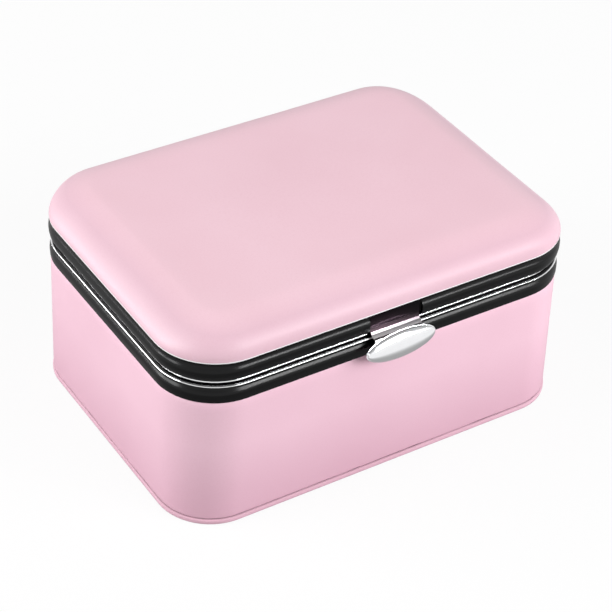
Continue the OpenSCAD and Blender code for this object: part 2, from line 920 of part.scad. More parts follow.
module lid_frame() {
    color(frame_black)
        in_place()
            difference() {
                swept_round()
                    polygon(concat(
                        [[-lid_lip_inside, lid_foot],
                         [-lid_inlay_back, lid_foot],
                         [-lid_inlay_back, lid_inlay_top]],
                        swelling([-lid_band_waist, lid_inlay_top], [0.1, lid_band_top],
                                 lid_band_bulge, 10),
                        [[-lid_wall_outside, lid_band_top],
                         [-lid_wall_outside, lid_wall_foot],
                         [-lid_inside, lid_wall_foot],
                         [-lid_inside, lid_wall_foot + lid_lip_depth],
                         [-lid_lip_inside, lid_wall_foot + lid_lip_depth]]));
                hinge_room(lid_foot - 1, lid_foot + leaf_thickness);
                catch_notch();
                rivet_holes(lid_foot, lid_wall_foot + 1);
            }
}

// Notch through the lid band for the catch plate
module catch_notch() {
    front_bar(2 * notch_half)
        polygon([[-notch_depth, 0],
                 [5, 0],
                 [5, case_height],
                 [-notch_depth, case_height]]);
}

module lid_trim() {
    color(chrome_bright)
        in_place()
            difference() {
                swept_round()
                    polygon(bead(-lid_inlay_back, lid_foot, lid_inlay_height, inlay_depth, 8));
                hinge_room(band_foot, case_height);
                front_bar(2 * notch_half)
                    polygon([[-far / 10, 0], [5, 0], [5, case_height], [-far / 10, case_height]]);
            }
}

module lid_lining() {
    color(velvet_pale)
        in_place()
            difference() {
                slab(-lid_inside, lid_wall_foot + lid_lip_depth, lid_board_foot);
                slab(-lid_lined, 0, lid_panel_foot);
            }
}

module mirror_glass() {
    color([0.8, 0.85, 0.88])
        in_place()
            glass(0, mirror_foot, lid_panel_foot);
}

module glass(out, foot, top) {
    translate([0, 0, foot])
        linear_extrude(top - foot)
            rounded(mirror_width + 2 * out, mirror_depth + 2 * out, mirror_radius + out);
}

module mirror_frame() {
    foot = lid_panel_foot - mirror_frame_thickness;
    color(velvet_pale)
        in_place()
            difference() {
                slab(-lid_lined - 0.4, foot, lid_panel_foot);
                glass(-mirror_lap, 0, case_height);
                glass(0, mirror_foot, case_height);
            }
}

// ---- Tray ----

module tray_shell() {
    color(board_grey)
        in_place()
            difference() {
                slab(-tray_outside, tray_height, tray_top);
                slab(-tray_inside, tray_floor_top, case_height);
            }
}

module tray_lining() {
    color(velvet_pale)
        in_place()
            difference() {
                slab(-tray_inside, tray_floor_top, tray_top);
                slab(-tray_lined, tray_lining_top, case_height);
            }
}

module tray_dividers() {
    cross_x = tray_long_divider + divider_thickness / 2;
    middle_x = (cross_x + tray_half_width) / 2;
    color(velvet_pale)
        in_place()
            translate([0, 0, tray_lining_top]) {
                translate([tray_long_divider - divider_thickness / 2, -tray_half_depth, 0])
                    cube([divider_thickness, 2 * tray_half_depth, tray_divider_height]);
                translate([tray_long_divider, -tray_cross_shift - divider_thickness / 2, 0])
                    cube([tray_half_width - tray_long_divider, divider_thickness,
                          tray_divider_height]);
                translate([middle_x - divider_thickness / 2, -tray_cross_shift, 0])
                    cube([divider_thickness, tray_half_depth + tray_cross_shift,
                          tray_divider_height]);
            }
}

module ring_rolls() {
    r = ring_roll_width / 2;
    color(velvet_pale)
        in_place()
            intersection() {
                for (i = [0 : ring_roll_count - 1])
                    translate([ring_start, (i - (ring_roll_count - 1) / 2) * ring_pitch,
                               tray_lining_top])
                        rotate([90, 0, 90])
                            linear_extrude(ring_roll_length) {
                                translate([-r, 0])
                                    square([2 * r, ring_roll_height - r]);
                                translate([0, ring_roll_height - r])
                                    circle(r);
                            }
                slab(-tray_lined, 0, case_height);
            }
}

// A folded ribbon loop on the left and right wall of the tray
module tray_pull_tabs() {
    foot = tray_lining_top + 6;
    loop = 1.5 * ribbon_thickness;
    top = tray_top + tab_rise - loop;
    color(velvet_pale)
        in_place()
            for (turn = [0, 180])
                rotate([0, 0, turn])
                    translate([tray_half_width - loop, tab_width / 2, 0])
                        rotate([90, 0, 0])
                            linear_extrude(tab_width)
                                difference() {
                                    union() {
                                        translate([-loop, foot])
                                            square([2 * loop, top - foot]);
                                        translate([0, top])
                                            circle(loop);
                                    }
                                    translate([ribbon_thickness - loop, foot - 1])
                                        square([2 * loop - 2 * ribbon_thickness, top - foot + 1]);
                                    translate([0, top])
                                        circle(loop - ribbon_thickness);
                                }
}

bottom_panel();
base_shell();
base_leather();
base_frame();
base_trim();
base_lining();
base_dividers();
tray_ledges();
hinge_base_leaves();
hinge_pins();
hinge_base_rivets();
catch_bracket();
catch_pin();
catch_spring();
lid_shell();
lid_foam();
lid_leather();
lid_frame();
lid_trim();
lid_lining();
mirror_glass();
mirror_frame();
hinge_lid_leaves();
hinge_lid_rivets();
catch_keeper();
tray_shell();
tray_lining();
tray_dividers();
ring_rolls();
tray_pull_tabs();
catch_plate();
thumb_button();
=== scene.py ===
# %% [markdown]
# # A leather jewellery case
# The case is a hard box covered in smooth pink leather. Two satin black rim frames meet at the
# parting line, each with a thin chrome inlay, and a chrome catch with an oval thumb piece sits in
# front. Such a box could be modelled freely and measured afterwards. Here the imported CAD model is
# loaded first as a fixed frame, and each piece below is built over it, in the same place and in
# metres, so nothing has to be fitted by eye.

# %% Load the frame
from math import cos, pi, radians, sin, tan

import bmesh
import bpy
from mathutils import Matrix, Vector, noise


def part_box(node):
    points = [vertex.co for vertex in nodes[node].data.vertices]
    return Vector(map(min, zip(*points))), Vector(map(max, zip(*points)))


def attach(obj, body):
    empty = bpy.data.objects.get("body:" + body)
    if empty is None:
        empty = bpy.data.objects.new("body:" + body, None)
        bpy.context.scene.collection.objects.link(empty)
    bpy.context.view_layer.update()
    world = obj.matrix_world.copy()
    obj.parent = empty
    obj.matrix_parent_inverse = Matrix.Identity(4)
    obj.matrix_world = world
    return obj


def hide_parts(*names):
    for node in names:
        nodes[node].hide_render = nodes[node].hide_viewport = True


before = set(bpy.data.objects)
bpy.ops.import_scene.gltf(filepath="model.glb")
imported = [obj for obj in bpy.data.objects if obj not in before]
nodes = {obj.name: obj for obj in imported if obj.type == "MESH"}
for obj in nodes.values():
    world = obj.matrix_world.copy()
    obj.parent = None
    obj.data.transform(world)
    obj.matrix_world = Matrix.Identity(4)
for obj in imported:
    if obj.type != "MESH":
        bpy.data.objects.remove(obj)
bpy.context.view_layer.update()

# %% [markdown]
# The sizes of the case could be typed in again, but then they could drift away from the CAD
# model. They are read from the frame instead: the leather of the base gives the outline, and the
# boxes of the rim frames give the heights. The constant MM turns millimetres into metres,
# because small parts are easier to read in millimetres.

# %% Sizes of the case
MM = 0.001


def low(node):
    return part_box(node)[0]


def high(node):
    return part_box(node)[1]


half_width = (high("base_leather")[0] - low("base_leather")[0]) / 2
half_depth = (high("base_leather")[1] - low("base_leather")[1]) / 2
middle_y = (high("base_leather")[1] + low("base_leather")[1]) / 2
corner_radius = 22.5 * MM
band_foot = high("base_leather")[2]
parting = high("base_frame")[2]
lid_foot = low("lid_frame")[2]
lid_edge = low("lid_leather")[2]
lid_top = high("lid_leather")[2]
print("case", round(half_width * 2, 4), "x", round(half_depth * 2, 4), "x", round(lid_top, 4))

# %% [markdown]
# ## The camera
# The case is seen from the front left and from above, through a long lens, so that its edges
# stay almost parallel. A camera can be aimed with a constraint or with three angles. Here its
# axes are written out as a matrix, because the small roll and the slight shift of the picture
# are then plain sums. The camera looks along its own -Z.

# %% Camera
view_azimuth, view_elevation, view_roll = radians(-33.36), radians(37.18), radians(2.68)
view_distance = 764.57 * MM
view_target = Vector((0, middle_y, 35 * MM))
shift_right, shift_down = 1.58 * MM, 3.27 * MM
picture_width, picture_focus = 612, 2101.16
film_width = 36

to_camera = Vector((sin(view_azimuth) * cos(view_elevation),
                    -cos(view_azimuth) * cos(view_elevation), sin(view_elevation)))
level_right = (-to_camera).cross(Vector((0, 0, 1))).normalized()
level_up = level_right.cross(-to_camera).normalized()
camera_right = level_right * cos(view_roll) + level_up * sin(view_roll)
camera_up = -level_right * sin(view_roll) + level_up * cos(view_roll)
camera_place = (view_target + to_camera * view_distance
                + camera_right * shift_right - camera_up * shift_down)

camera_data = bpy.data.cameras.new("camera")
camera_data.sensor_fit = "HORIZONTAL"
camera_data.sensor_width = film_width
camera_data.lens = picture_focus / picture_width * film_width
camera_data.clip_start = 0.01
camera = bpy.data.objects.new("camera", camera_data)
bpy.context.scene.collection.objects.link(camera)
camera.matrix_world = Matrix((
    (camera_right.x, camera_up.x, to_camera.x, camera_place.x),
    (camera_right.y, camera_up.y, to_camera.y, camera_place.y),
    (camera_right.z, camera_up.z, to_camera.z, camera_place.z),
    (0, 0, 0, 1)))
bpy.context.scene.camera = camera
print("lens", round(camera_data.lens, 1), "mm")

# %% [markdown]
# ## Backdrop and light
# Pale goods stand on white, but white paper all round would flood the leather with light. The
# white could be put behind the picture afterwards. Here the light path does it in one go: rays
# from the camera see white, and the rays that light the case see a soft and much darker fill.
# Glossy rays see white low down and grey overhead, so that the lid's top keeps its colour. The
# first cell holds helpers that each add a few nodes to a tree.


# %% Helpers for node trees
def arithmetic(tree, how, first, second=0.0):
    """One Math node; each input may be a number or another node's output."""
    node = tree.nodes.new("ShaderNodeMath")
    node.operation = how
    for socket, value in ((node.inputs[0], first), (node.inputs[1], second)):
        if isinstance(value, (int, float)):
            socket.default_value = value
        else:
            tree.links.new(value, socket)
    return node.outputs[0]


def between(tree, value, start, end, from_low=0.0, from_high=1.0, ease="LINEAR"):
    """Spreads a value from one range to another, clamped."""
    node = tree.nodes.new("ShaderNodeMapRange")
    node.interpolation_type = ease
    node.inputs["From Min"].default_value = from_low
    node.inputs["From Max"].default_value = from_high
    node.inputs["To Min"].default_value = start
    node.inputs["To Max"].default_value = end
    tree.links.new(value, node.inputs["Value"])
    return node.outputs["Result"]


def coordinates(tree, kind="Object"):
    return tree.nodes.new("ShaderNodeTexCoord").outputs[kind]


def split(tree, place):
    """The X, Y and Z of a place, by name."""
    node = tree.nodes.new("ShaderNodeSeparateXYZ")
    tree.links.new(place, node.inputs[0])
    return node.outputs


def kinds_of_ray(tree):
    """1 or 0 for a camera ray, for a glossy ray, and for any ray that sees and doesn't light."""
    path = tree.nodes.new("ShaderNodeLightPath").outputs
    seeing = arithmetic(tree, "MAXIMUM", path["Is Camera Ray"], path["Is Glossy Ray"])
    seeing = arithmetic(tree, "MAXIMUM", seeing, path["Is Transmission Ray"])
    return path["Is Camera Ray"], path["Is Glossy Ray"], seeing


def mixed_to_output(tree, share, first, second, output):
    """Mixes two shaders by a share and plugs the result into the tree's output node."""
    mix = tree.nodes.new("ShaderNodeMixShader")
    for socket, source in zip(mix.inputs, (share, first.outputs[0], second.outputs[0])):
        tree.links.new(source, socket)
    tree.links.new(mix.outputs[0], tree.nodes.new(output).inputs[0])


# %% World
bpy.context.scene.view_settings.view_transform = "Standard"
fill_strength = 0.32
overhead_level, overhead_from, overhead_to = 0.5, 0.36, 0.60
world = bpy.data.worlds.new("studio")
bpy.context.scene.world = world
world.use_nodes = True
sky = world.node_tree
sky.nodes.clear()
camera_ray, _, seeing_ray = kinds_of_ray(sky)
fill = sky.nodes.new("ShaderNodeBackground")
fill.inputs["Color"].default_value = (1.0, 0.985, 0.99, 1)
fill.inputs["Strength"].default_value = fill_strength
overhead = between(sky, split(sky, coordinates(sky, "Generated"))["Z"], 1.0, overhead_level,
                   overhead_from, overhead_to, "SMOOTHSTEP")
backdrop = sky.nodes.new("ShaderNodeBackground")
backdrop.inputs["Color"].default_value = (1, 1, 1, 1)
sky.links.new(arithmetic(sky, "MAXIMUM", camera_ray, overhead), backdrop.inputs["Strength"])
mixed_to_output(sky, seeing_ray, fill, backdrop, "ShaderNodeOutputWorld")
print("world fill", fill_strength)

# %% [markdown]
# The floor is white paper that keeps the shadow of the case. A plain white sheet would throw too
# much light up at the walls, and a shadow catcher would show nothing in the chrome. So the
# paper is mostly a glow for the rays that see it, with a tenth of matt paint that takes the shadow.
# For glossy rays the glow fades close to the case, where real paper lies in its shade.

# %% Floor
floor_half = 3
floor_drop = 0.02 * MM
floor_tone, floor_white = 0.42, 0.86
shade_level, shade_from, shade_to = 0.42, 0.14, 0.30
glow_share = 0.9
floor_mesh = bpy.data.meshes.new("floor")
floor_mesh.from_pydata([(-floor_half, -floor_half, 0), (floor_half, -floor_half, 0),
                        (floor_half, floor_half, 0), (-floor_half, floor_half, 0)],
                       [], [(0, 1, 2, 3)])
floor = bpy.data.objects.new("floor", floor_mesh)
bpy.context.scene.collection.objects.link(floor)
floor.location.z = -floor_drop

floor_paint = bpy.data.materials.new("floor_paint")
floor_paint.use_nodes = True
paint = floor_paint.node_tree
paint.nodes.clear()
camera_ray, glossy_ray, seeing_ray = kinds_of_ray(paint)
matt = paint.nodes.new("ShaderNodeBsdfDiffuse")
paint.links.new(between(paint, seeing_ray, floor_tone, floor_white), matt.inputs["Color"])
distance = paint.nodes.new("ShaderNodeVectorMath")
distance.operation = "LENGTH"
paint.links.new(coordinates(paint), distance.inputs[0])
clearing = between(paint, distance.outputs["Value"], shade_level, 1.0, shade_from, shade_to,
                   "SMOOTHSTEP")
glow = paint.nodes.new("ShaderNodeEmission")
glow.inputs["Color"].default_value = (1, 1, 1, 1)
paint.links.new(arithmetic(paint, "MAXIMUM", camera_ray, clearing), glow.inputs["Strength"])
glowing = arithmetic(paint, "MULTIPLY", seeing_ray, glow_share)
glowing = arithmetic(paint, "MAXIMUM", glowing, glossy_ray)
mixed_to_output(paint, glowing, matt, glow, "ShaderNodeOutputMaterial")
floor_mesh.materials.append(floor_paint)
print("floor", floor_half * 2, "m wide")

# %% [markdown]
# Soft square lamps stand round the case, a little above it. One large lamp overhead would make
# the walls dull and the box flat. Here the upright corner that points at the camera falls
# between the lamps on the left and those on the right, so it turns darker and reads as round. Two
# narrow strips give no soft light and are only mirrored: they draw the highlight along the black
# bands. The lamp on the right does the opposite: it lights, but no surface mirrors it. Each lamp
# is given by its direction, which is how it would be moved about in a studio.


# %% Lamps
lamp_distance, lamp_size = 1.3, 0.6
strip_length, strip_height = 0.9, 0.05


def soft_light(name, azimuth, elevation, watts, tint=(1, 1, 1), size=lamp_size, height=lamp_size):
    """An area light that faces the case from a direction; azimuth 0 is the front, 90 the right."""
    data = bpy.data.lights.new(name, "AREA")
    data.shape = "RECTANGLE"
    data.size = size
    data.size_y = height
    data.energy = watts
    data.color = tint
    lamp = bpy.data.objects.new(name, data)
    bpy.context.scene.collection.objects.link(lamp)
    az, el = radians(azimuth), radians(elevation)
    way = Vector((sin(az) * cos(el), -cos(az) * cos(el), sin(el)))
    lamp.location = view_target + way * lamp_distance
    lamp.rotation_euler = way.to_track_quat("Z", "Y").to_euler()
    print(name, watts, "W")
    return lamp


soft_light("light_left_back", -125, 22, 6.1)
soft_light("light_left", -100, 25, 9.4, (0.99, 1.0, 1.0))
light_right = soft_light("light_right", 44, 20, 10.6, (0.985, 0.995, 1.0))
light_right.visible_glossy = False
for name, azimuth, elevation, watts in (("strip_front", 28, 19, 4.2), ("strip_left", -132, 9, 3)):
    strip = soft_light(name, azimuth, elevation, watts, (1, 1, 1), strip_length, strip_height)
    strip.visible_diffuse = False
soft_light("light_front", 20, 30, 5.8, (0.99, 1.0, 1.0))

# %% [markdown]
# ## Materials
# Each finish is a small node tree on a Principled shader. Painted textures could do the same, but
# they would need unwrapped meshes and would blur close up. Noise in object coordinates needs
# neither: every object sits at the origin, so one metre of coordinate is one metre of the case,
# and the patterns keep their real scale on every piece.


# %% Helpers for materials
def finish(name, roughness, metallic=0.0):
    """A new material with its Principled shader and the object coordinates."""
    material = bpy.data.materials.new(name)
    material.use_nodes = True
    tree = material.node_tree
    shader = tree.nodes["Principled BSDF"]
    shader.inputs["Roughness"].default_value = roughness
    shader.inputs["Metallic"].default_value = metallic
    return material, tree, shader, coordinates(tree)


def cloudy(tree, place, scale, detail=3.0, rough=0.5):
    """Noise with about that many blotches per metre."""
    node = tree.nodes.new("ShaderNodeTexNoise")
    node.inputs["Scale"].default_value = scale
    node.inputs["Detail"].default_value = detail
    node.inputs["Roughness"].default_value = rough
    tree.links.new(place, node.inputs["Vector"])
    return node.outputs["Fac"]


def painted(tree, shader, colour, roughness=None):
    """Plugs a colour, and a roughness where it varies, into the shader."""
    tree.links.new(colour, shader.inputs["Base Color"])
    if roughness is not None:
        tree.links.new(roughness, shader.inputs["Roughness"])


def blended(tree, share, first, second, how="MIX"):
    """Mixes two colours; each may be a colour or another node's output."""
    node = tree.nodes.new("ShaderNodeMix")
    node.data_type = "RGBA"
    node.blend_type = how
    for socket, colour in ((node.inputs[6], first), (node.inputs[7], second)):
        if isinstance(colour, tuple):
            socket.default_value = (*colour, 1)
        else:
            tree.links.new(colour, socket)
    if isinstance(share, float):
        node.inputs[0].default_value = share
    else:
        tree.links.new(share, node.inputs[0])
    return node.outputs[2]


def bumpy(tree, shader, height, depth, strength=1.0, under=None):
    """A bump of that depth in metres on the shader's normal."""
    node = tree.nodes.new("ShaderNodeBump")
    node.inputs["Strength"].default_value = strength
    node.inputs["Distance"].default_value = depth
    tree.links.new(height, node.inputs["Height"])
    if under is not None:
        tree.links.new(under, node.inputs["Normal"])
    tree.links.new(node.outputs["Normal"], shader.inputs["Normal"])
    return node.outputs["Normal"]


def cells(tree, place, scale):
    """Distance to the nearest of about that many cells per metre."""
    node = tree.nodes.new("ShaderNodeTexVoronoi")
    node.inputs["Scale"].default_value = scale
    tree.links.new(place, node.inputs["Vector"])
    return node.outputs["Distance"]


# %% [markdown]
# The leather is a smooth, lightly glossy synthetic hide. Close up it has a very fine grain, a
# faint mottling a few centimetres wide and an occasional dark fleck. One colour would look like
# plastic, so two pinks are mixed by a wide noise, and a fine noise and rare cells add specks.
# Painted shade darkens the hide towards the foot of each piece: the flank and shoulder of the lid,
# the lower part of the wall and of the bottom panel. A mask by height then paints a line at its lower
# edge: a near-white painted highlight along the lid's lower edge, and on the wall a dark line of
# painted shade in the open seam, whose line wanders a little.


# %% Pink leather
def leather(name, face, deep, painted_shade_tint, painted_shade_range, painted_line_height, painted_line_colour, wander):
    material, tree, shader, place = finish(name, 0.42)
    mottle = cloudy(tree, place, 22, 2.0)
    speckle = cloudy(tree, place, 1500, 2.0, 0.7)
    colour = blended(tree, between(tree, mottle, 0.0, 1.0, 0.35, 0.65), deep, face)
    colour = blended(tree, between(tree, speckle, 0.0, 0.16, 0.45, 0.75), colour, (0.75, 0.42, 0.5))
    fleck = between(tree, cells(tree, place, 46), 1.0, 0.0, 0.008, 0.014)
    rare = between(tree, cloudy(tree, place, 60, 1.0), 0.0, 0.75, 0.58, 0.62)
    colour = blended(tree, arithmetic(tree, "MULTIPLY", fleck, rare), colour, (0.42, 0.25, 0.28))
    z = split(tree, place)["Z"]
    # Painted shade: below a height the hide's colour is multiplied by the painted shade tint.
    painted_shade = between(tree, z, 1.0, 0.0, *painted_shade_range)
    colour = blended(tree, painted_shade, colour, painted_shade_tint, "MULTIPLY")
    # A painted line at the lower edge: a painted highlight on the lid, and painted shade of the open
    # seam on the wall.
    loose = between(tree, cloudy(tree, place, 110, 3.0), -wander, wander, 0.3, 0.7)
    height = arithmetic(tree, "ADD", z, loose)
    edge = between(tree, height, 1.0, 0.0, painted_line_height, painted_line_height + 0.15 * MM)
    colour = blended(tree, edge, colour, painted_line_colour)
    painted(tree, shader, colour, between(tree, mottle, 0.38, 0.47))
    pores = cells(tree, place, 1500)
    grain = arithmetic(tree, "ADD", pores, cloudy(tree, place, 4200, 2.0))
    soft = bumpy(tree, shader, cloudy(tree, place, 90, 2.0), 0.25 * MM, 0.25)
    bumpy(tree, shader, grain, 0.02 * MM, 0.35, soft)
    return material


# On the lid the flank and shoulder below the top get painted shade, and the lower edge a near-white
# painted highlight.
lid_hide = leather("lid_hide", (0.890, 0.608, 0.684), (0.866, 0.577, 0.652),
                   (0.86, 0.84, 0.865), (lid_top - 3.0 * MM, lid_top - 0.2 * MM),
                   lid_edge + 0.55 * MM, (1.0, 0.98, 0.98), 0.0)
# On the wall the lower part is darker as painted shade, and a dark line of painted shade marks the open
# seam.
wall_hide = leather("wall_hide", (0.872, 0.567, 0.672), (0.842, 0.537, 0.642),
                    (0.87, 0.805, 0.835), (3 * MM, 34 * MM),
                    high("bottom_panel")[2] + 0.62 * MM, (0.20, 0.09, 0.13), 0.25 * MM)
# The bottom panel gets a darker copy of the same leather, darkest in its lowest 2 mm: painted shade. Its
# edge line lies below it and paints nothing.
painted_shade_foot_hide = leather("painted_shade_foot_hide", (0.80, 0.50, 0.60), (0.76, 0.46, 0.56),
                    (0.94, 0.90, 0.92), (0.0, 2 * MM), -1 * MM, (0.7, 0.5, 0.55), 0.1 * MM)
print("leathers:", lid_hide.name, wall_hide.name)

# %% [markdown]
# The rim frames are extruded in a hard black plastic with a satin skin: a nearly black base with
# weak reflections, so that the highlight stays narrow. The chrome of the inlays and of the catch
# is bright and nearly smooth; a perfectly smooth one would look drawn, so a noise gives it a
# haze of fine wiping marks. The catch plate carries a painted reflection and painted shade: its
# colour is darker at its top, most towards its right, and clears towards the cove in three steps of
# height.


# %% Black frame
def satin_black():
    material, tree, shader, place = finish("satin_black", 0.28)
    shader.inputs["Specular IOR Level"].default_value = 0.22
    drift = cloudy(tree, place, 70, 3.0)
    colour = blended(tree, drift, (0.001, 0.001, 0.0012), (0.003, 0.003, 0.0035))
    painted(tree, shader, colour, between(tree, drift, 0.16, 0.26))
    bumpy(tree, shader, cloudy(tree, place, 2600, 3.0, 0.6), 0.012 * MM, 0.4)
    return material


frame_black = satin_black()
print("frame:", frame_black.name)


# %% Chrome
def chrome(name, colour, painted_reflection=None):
    material, tree, shader, place = finish(name, 0.1, 1.0)
    wipes = cloudy(tree, place, 350, 4.0, 0.6)
    bright = blended(tree, wipes, colour, tuple(0.94 * c for c in colour))
    if painted_reflection is not None:
        # Painted reflection and shade: the plate's colour darkens in steps up its height, as if it
        # mirrored dark surroundings, and most at its top right.
        at = split(tree, place)
        for start, end, tint in painted_reflection:
            bright = blended(tree, between(tree, at["Z"], 0.0, 1.0, start, end), bright, tint)
        painted_shade_right = between(tree, at["X"], 0.0, 0.75, -6 * MM, 8 * MM)
        depth = between(tree, at["Z"], 0.0, 1.0, *painted_reflection[0][:2])
        bright = blended(tree, arithmetic(tree, "MULTIPLY", painted_shade_right, depth), bright,
                         (0.010, 0.009, 0.011))
    painted(tree, shader, bright, between(tree, wipes, 0.06, 0.16))
    bumpy(tree, shader, cloudy(tree, place, 500, 2.0), 0.01 * MM, 0.2)
    return material


inlay_chrome = chrome("inlay_chrome", (0.93, 0.93, 0.94))
thumb_chrome = chrome("thumb_chrome", (0.90, 0.905, 0.92))
# The plate's tints are painted reflection: darker steps up the plate from the cove.
plate_chrome = chrome("plate_chrome", (0.90, 0.88, 0.90),
                      ((lid_foot + 0.2 * MM, lid_foot + 1.8 * MM, (0.20, 0.14, 0.17)),
                       (lid_foot + 1.8 * MM, lid_foot + 4.0 * MM, (0.07, 0.045, 0.06)),
                       (lid_foot + 4.0 * MM, lid_foot + 7.5 * MM, (0.018, 0.012, 0.016))))
hinge_nickel = chrome("hinge_nickel", (0.72, 0.71, 0.69))
print("chromes:", inlay_chrome.name, thumb_chrome.name, plate_chrome.name, hinge_nickel.name)


# %% [markdown]
# Inside there is velvet on every card. Its short pile could be made of hair, but at this size
# nobody sees a single fibre: the sheen of the shader brightens it at grazing angles, as a pile
# does, and that is far cheaper. The ribbon is satin with fine ribs, the structural board is dyed
# black and shows only on cut edges, and the mirror is silvered glass with a trace of haze.


# %% Velvet
def velvet(name, colour, shade):
    material, tree, shader, place = finish(name, 0.9)
    brushed = cloudy(tree, place, 60, 4.0, 0.6)
    pile = cloudy(tree, place, 5200, 2.0, 0.8)
    tone = blended(tree, between(tree, brushed, 0.0, 1.0, 0.35, 0.7), shade, colour)
    tone = blended(tree, between(tree, pile, 0.0, 0.3, 0.4, 0.7), tone, shade)
    painted(tree, shader, tone)
    shader.inputs["Sheen Weight"].default_value = 0.6
    shader.inputs["Sheen Roughness"].default_value = 0.4
    shader.inputs["Sheen Tint"].default_value = (1.0, 0.93, 0.94, 1)
    bumpy(tree, shader, pile, 0.12 * MM, 0.5)
    return material


pale_velvet = velvet("pale_velvet", (0.86, 0.66, 0.69), (0.74, 0.52, 0.56))
roll_velvet = velvet("roll_velvet", (0.88, 0.69, 0.72), (0.77, 0.55, 0.59))
print("velvets:", pale_velvet.name, roll_velvet.name)


# %% Ribbon, board and foam
def satin_ribbon():
    material, tree, shader, place = finish("satin_ribbon", 0.4)
    ribs = tree.nodes.new("ShaderNodeTexWave")
    ribs.bands_direction = "Z"
    ribs.inputs["Scale"].default_value = 600
    ribs.inputs["Distortion"].default_value = 0.6
    tree.links.new(place, ribs.inputs["Vector"])
    tone = blended(tree, ribs.outputs["Fac"], (0.80, 0.42, 0.52), (0.90, 0.55, 0.64))
    painted(tree, shader, tone, between(tree, ribs.outputs["Fac"], 0.32, 0.5))
    bumpy(tree, shader, ribs.outputs["Fac"], 0.03 * MM, 0.4)
    return material


def pressed_board():
    material, tree, shader, place = finish("pressed_board", 0.85)
    fibres = cloudy(tree, place, 900, 6.0, 0.7)
    tone = blended(tree, fibres, (0.014, 0.013, 0.013), (0.035, 0.032, 0.03))
    painted(tree, shader, tone)
    bumpy(tree, shader, fibres, 0.05 * MM, 0.6)
    return material


def open_foam():
    material, tree, shader, place = finish("open_foam", 0.95)
    bubbles = cells(tree, place, 900)
    tone = blended(tree, bubbles, (0.55, 0.50, 0.42), (0.80, 0.76, 0.68))
    painted(tree, shader, tone)
    bumpy(tree, shader, bubbles, 0.3 * MM, 0.6)
    return material


ribbon_satin = satin_ribbon()
board_black = pressed_board()
foam_cream = open_foam()
print("soft goods:", ribbon_satin.name, board_black.name, foam_cream.name)


# %% Steel and mirror
def spring_steel():
    material, tree, shader, place = finish("spring_steel", 0.3, 1.0)
    drawn = cloudy(tree, place, 1200, 5.0, 0.7)
    tone = blended(tree, drawn, (0.42, 0.42, 0.44), (0.58, 0.58, 0.60))
    painted(tree, shader, tone, between(tree, drawn, 0.22, 0.4))
    return material


def mirror_silver():
    material, tree, shader, place = finish("mirror_silver", 0.02, 1.0)
    haze = cloudy(tree, place, 40, 3.0)
    tone = blended(tree, haze, (0.88, 0.90, 0.90), (0.93, 0.94, 0.945))
    painted(tree, shader, tone, between(tree, haze, 0.01, 0.05))
    return material


steel_grey = spring_steel()
mirror_face = mirror_silver()
print("materials:", len(bpy.data.materials))

# %% [markdown]
# ## Shapes carried round the case
# Most pieces of the case are one small section carried round the same rounded rectangle: the
# leather wall, the frames, the inlays. A curve with a bevel profile could sweep them, but it gives
# little say over the corners. So `outline` gives the path moved outward by a distance, and
# `carried_round` joins one ring of points per section point into a band of faces. Because the
# section is drawn with real roundings, the highlights run along it as on the moulded part.


# %% Helpers for meshes
fold_angle = 38
foot_tighter = 2.4 * MM


def outline(out, bend=corner_radius, corner_steps=14, side_steps=10):
    """The case's outline moved outward, as points that run counter-clockwise."""
    across, deep = half_width - bend, half_depth - bend
    radius = bend + out
    centres = ((across, deep), (-across, deep), (-across, -deep), (across, -deep))
    points = []
    for quarter, (x, y) in enumerate(centres):
        turns = [pi / 2 * (quarter + i / corner_steps) for i in range(corner_steps + 1)]
        points += [(x + radius * cos(a), y + radius * sin(a)) for a in turns]
        x, y = centres[(quarter + 1) % 4]
        start, end = points[-1], (x + radius * cos(turns[-1]), y + radius * sin(turns[-1]))
        points += [(start[0] + (end[0] - start[0]) * i / side_steps,
                    start[1] + (end[1] - start[1]) * i / side_steps) for i in range(1, side_steps)]
    return [Vector((x, y + middle_y, 0)) for x, y in points]


def ring(out, z):
    """The outline at one height; the boards of the base are bent a little tighter at the foot."""
    tighter = foot_tighter * max(0.0, 1 - z / parting)
    return [Vector((p.x, p.y, z)) for p in outline(out, corner_radius - tighter)]


def banded(rings, closed):
    """Vertices and faces of rings joined one to the next."""
    count = len(rings[0])
    vertices = [p for r in rings for p in r]
    faces = []
    for k in range(len(rings) if closed else len(rings) - 1):
        a, b = k * count, ((k + 1) % len(rings)) * count
        faces += [(a + i, a + (i + 1) % count, b + (i + 1) % count, b + i) for i in range(count)]
    return vertices, faces


def capped(rings):
    """Vertices and faces of joined rings, with one face over each end."""
    vertices, faces = banded(rings, False)
    count = len(rings[0])
    return vertices, faces + [tuple(range(count)), tuple(range(len(vertices) - count, len(vertices)))]


def new_piece(name, vertices, faces, material, smooth_angle=fold_angle):
    """An object from vertices and faces, with outward normals and smooth shading."""
    mesh = bpy.data.meshes.new(name)
    mesh.from_pydata([tuple(v) for v in vertices], [], faces)
    work = bmesh.new()
    work.from_mesh(mesh)
    bmesh.ops.remove_doubles(work, verts=work.verts, dist=0.002 * MM)
    bmesh.ops.recalc_face_normals(work, faces=work.faces)
    work.to_mesh(mesh)
    work.free()
    piece = bpy.data.objects.new(name, mesh)
    bpy.context.scene.collection.objects.link(piece)
    mesh.materials.append(material)
    smooth(mesh, smooth_angle)
    print(name, len(mesh.vertices), "points")
    return piece


def smooth(mesh, angle=fold_angle):
    mesh.polygons.foreach_set("use_smooth", [True] * len(mesh.polygons))
    mesh.set_sharp_from_angle(angle=radians(angle))


def carried_round(name, section, material, smooth_angle=fold_angle):
    """A closed section of (outward distance, height) in metres, carried round the case."""
    vertices, faces = banded([ring(out, z) for out, z in section], True)
    return new_piece(name, vertices, faces, material, smooth_angle)


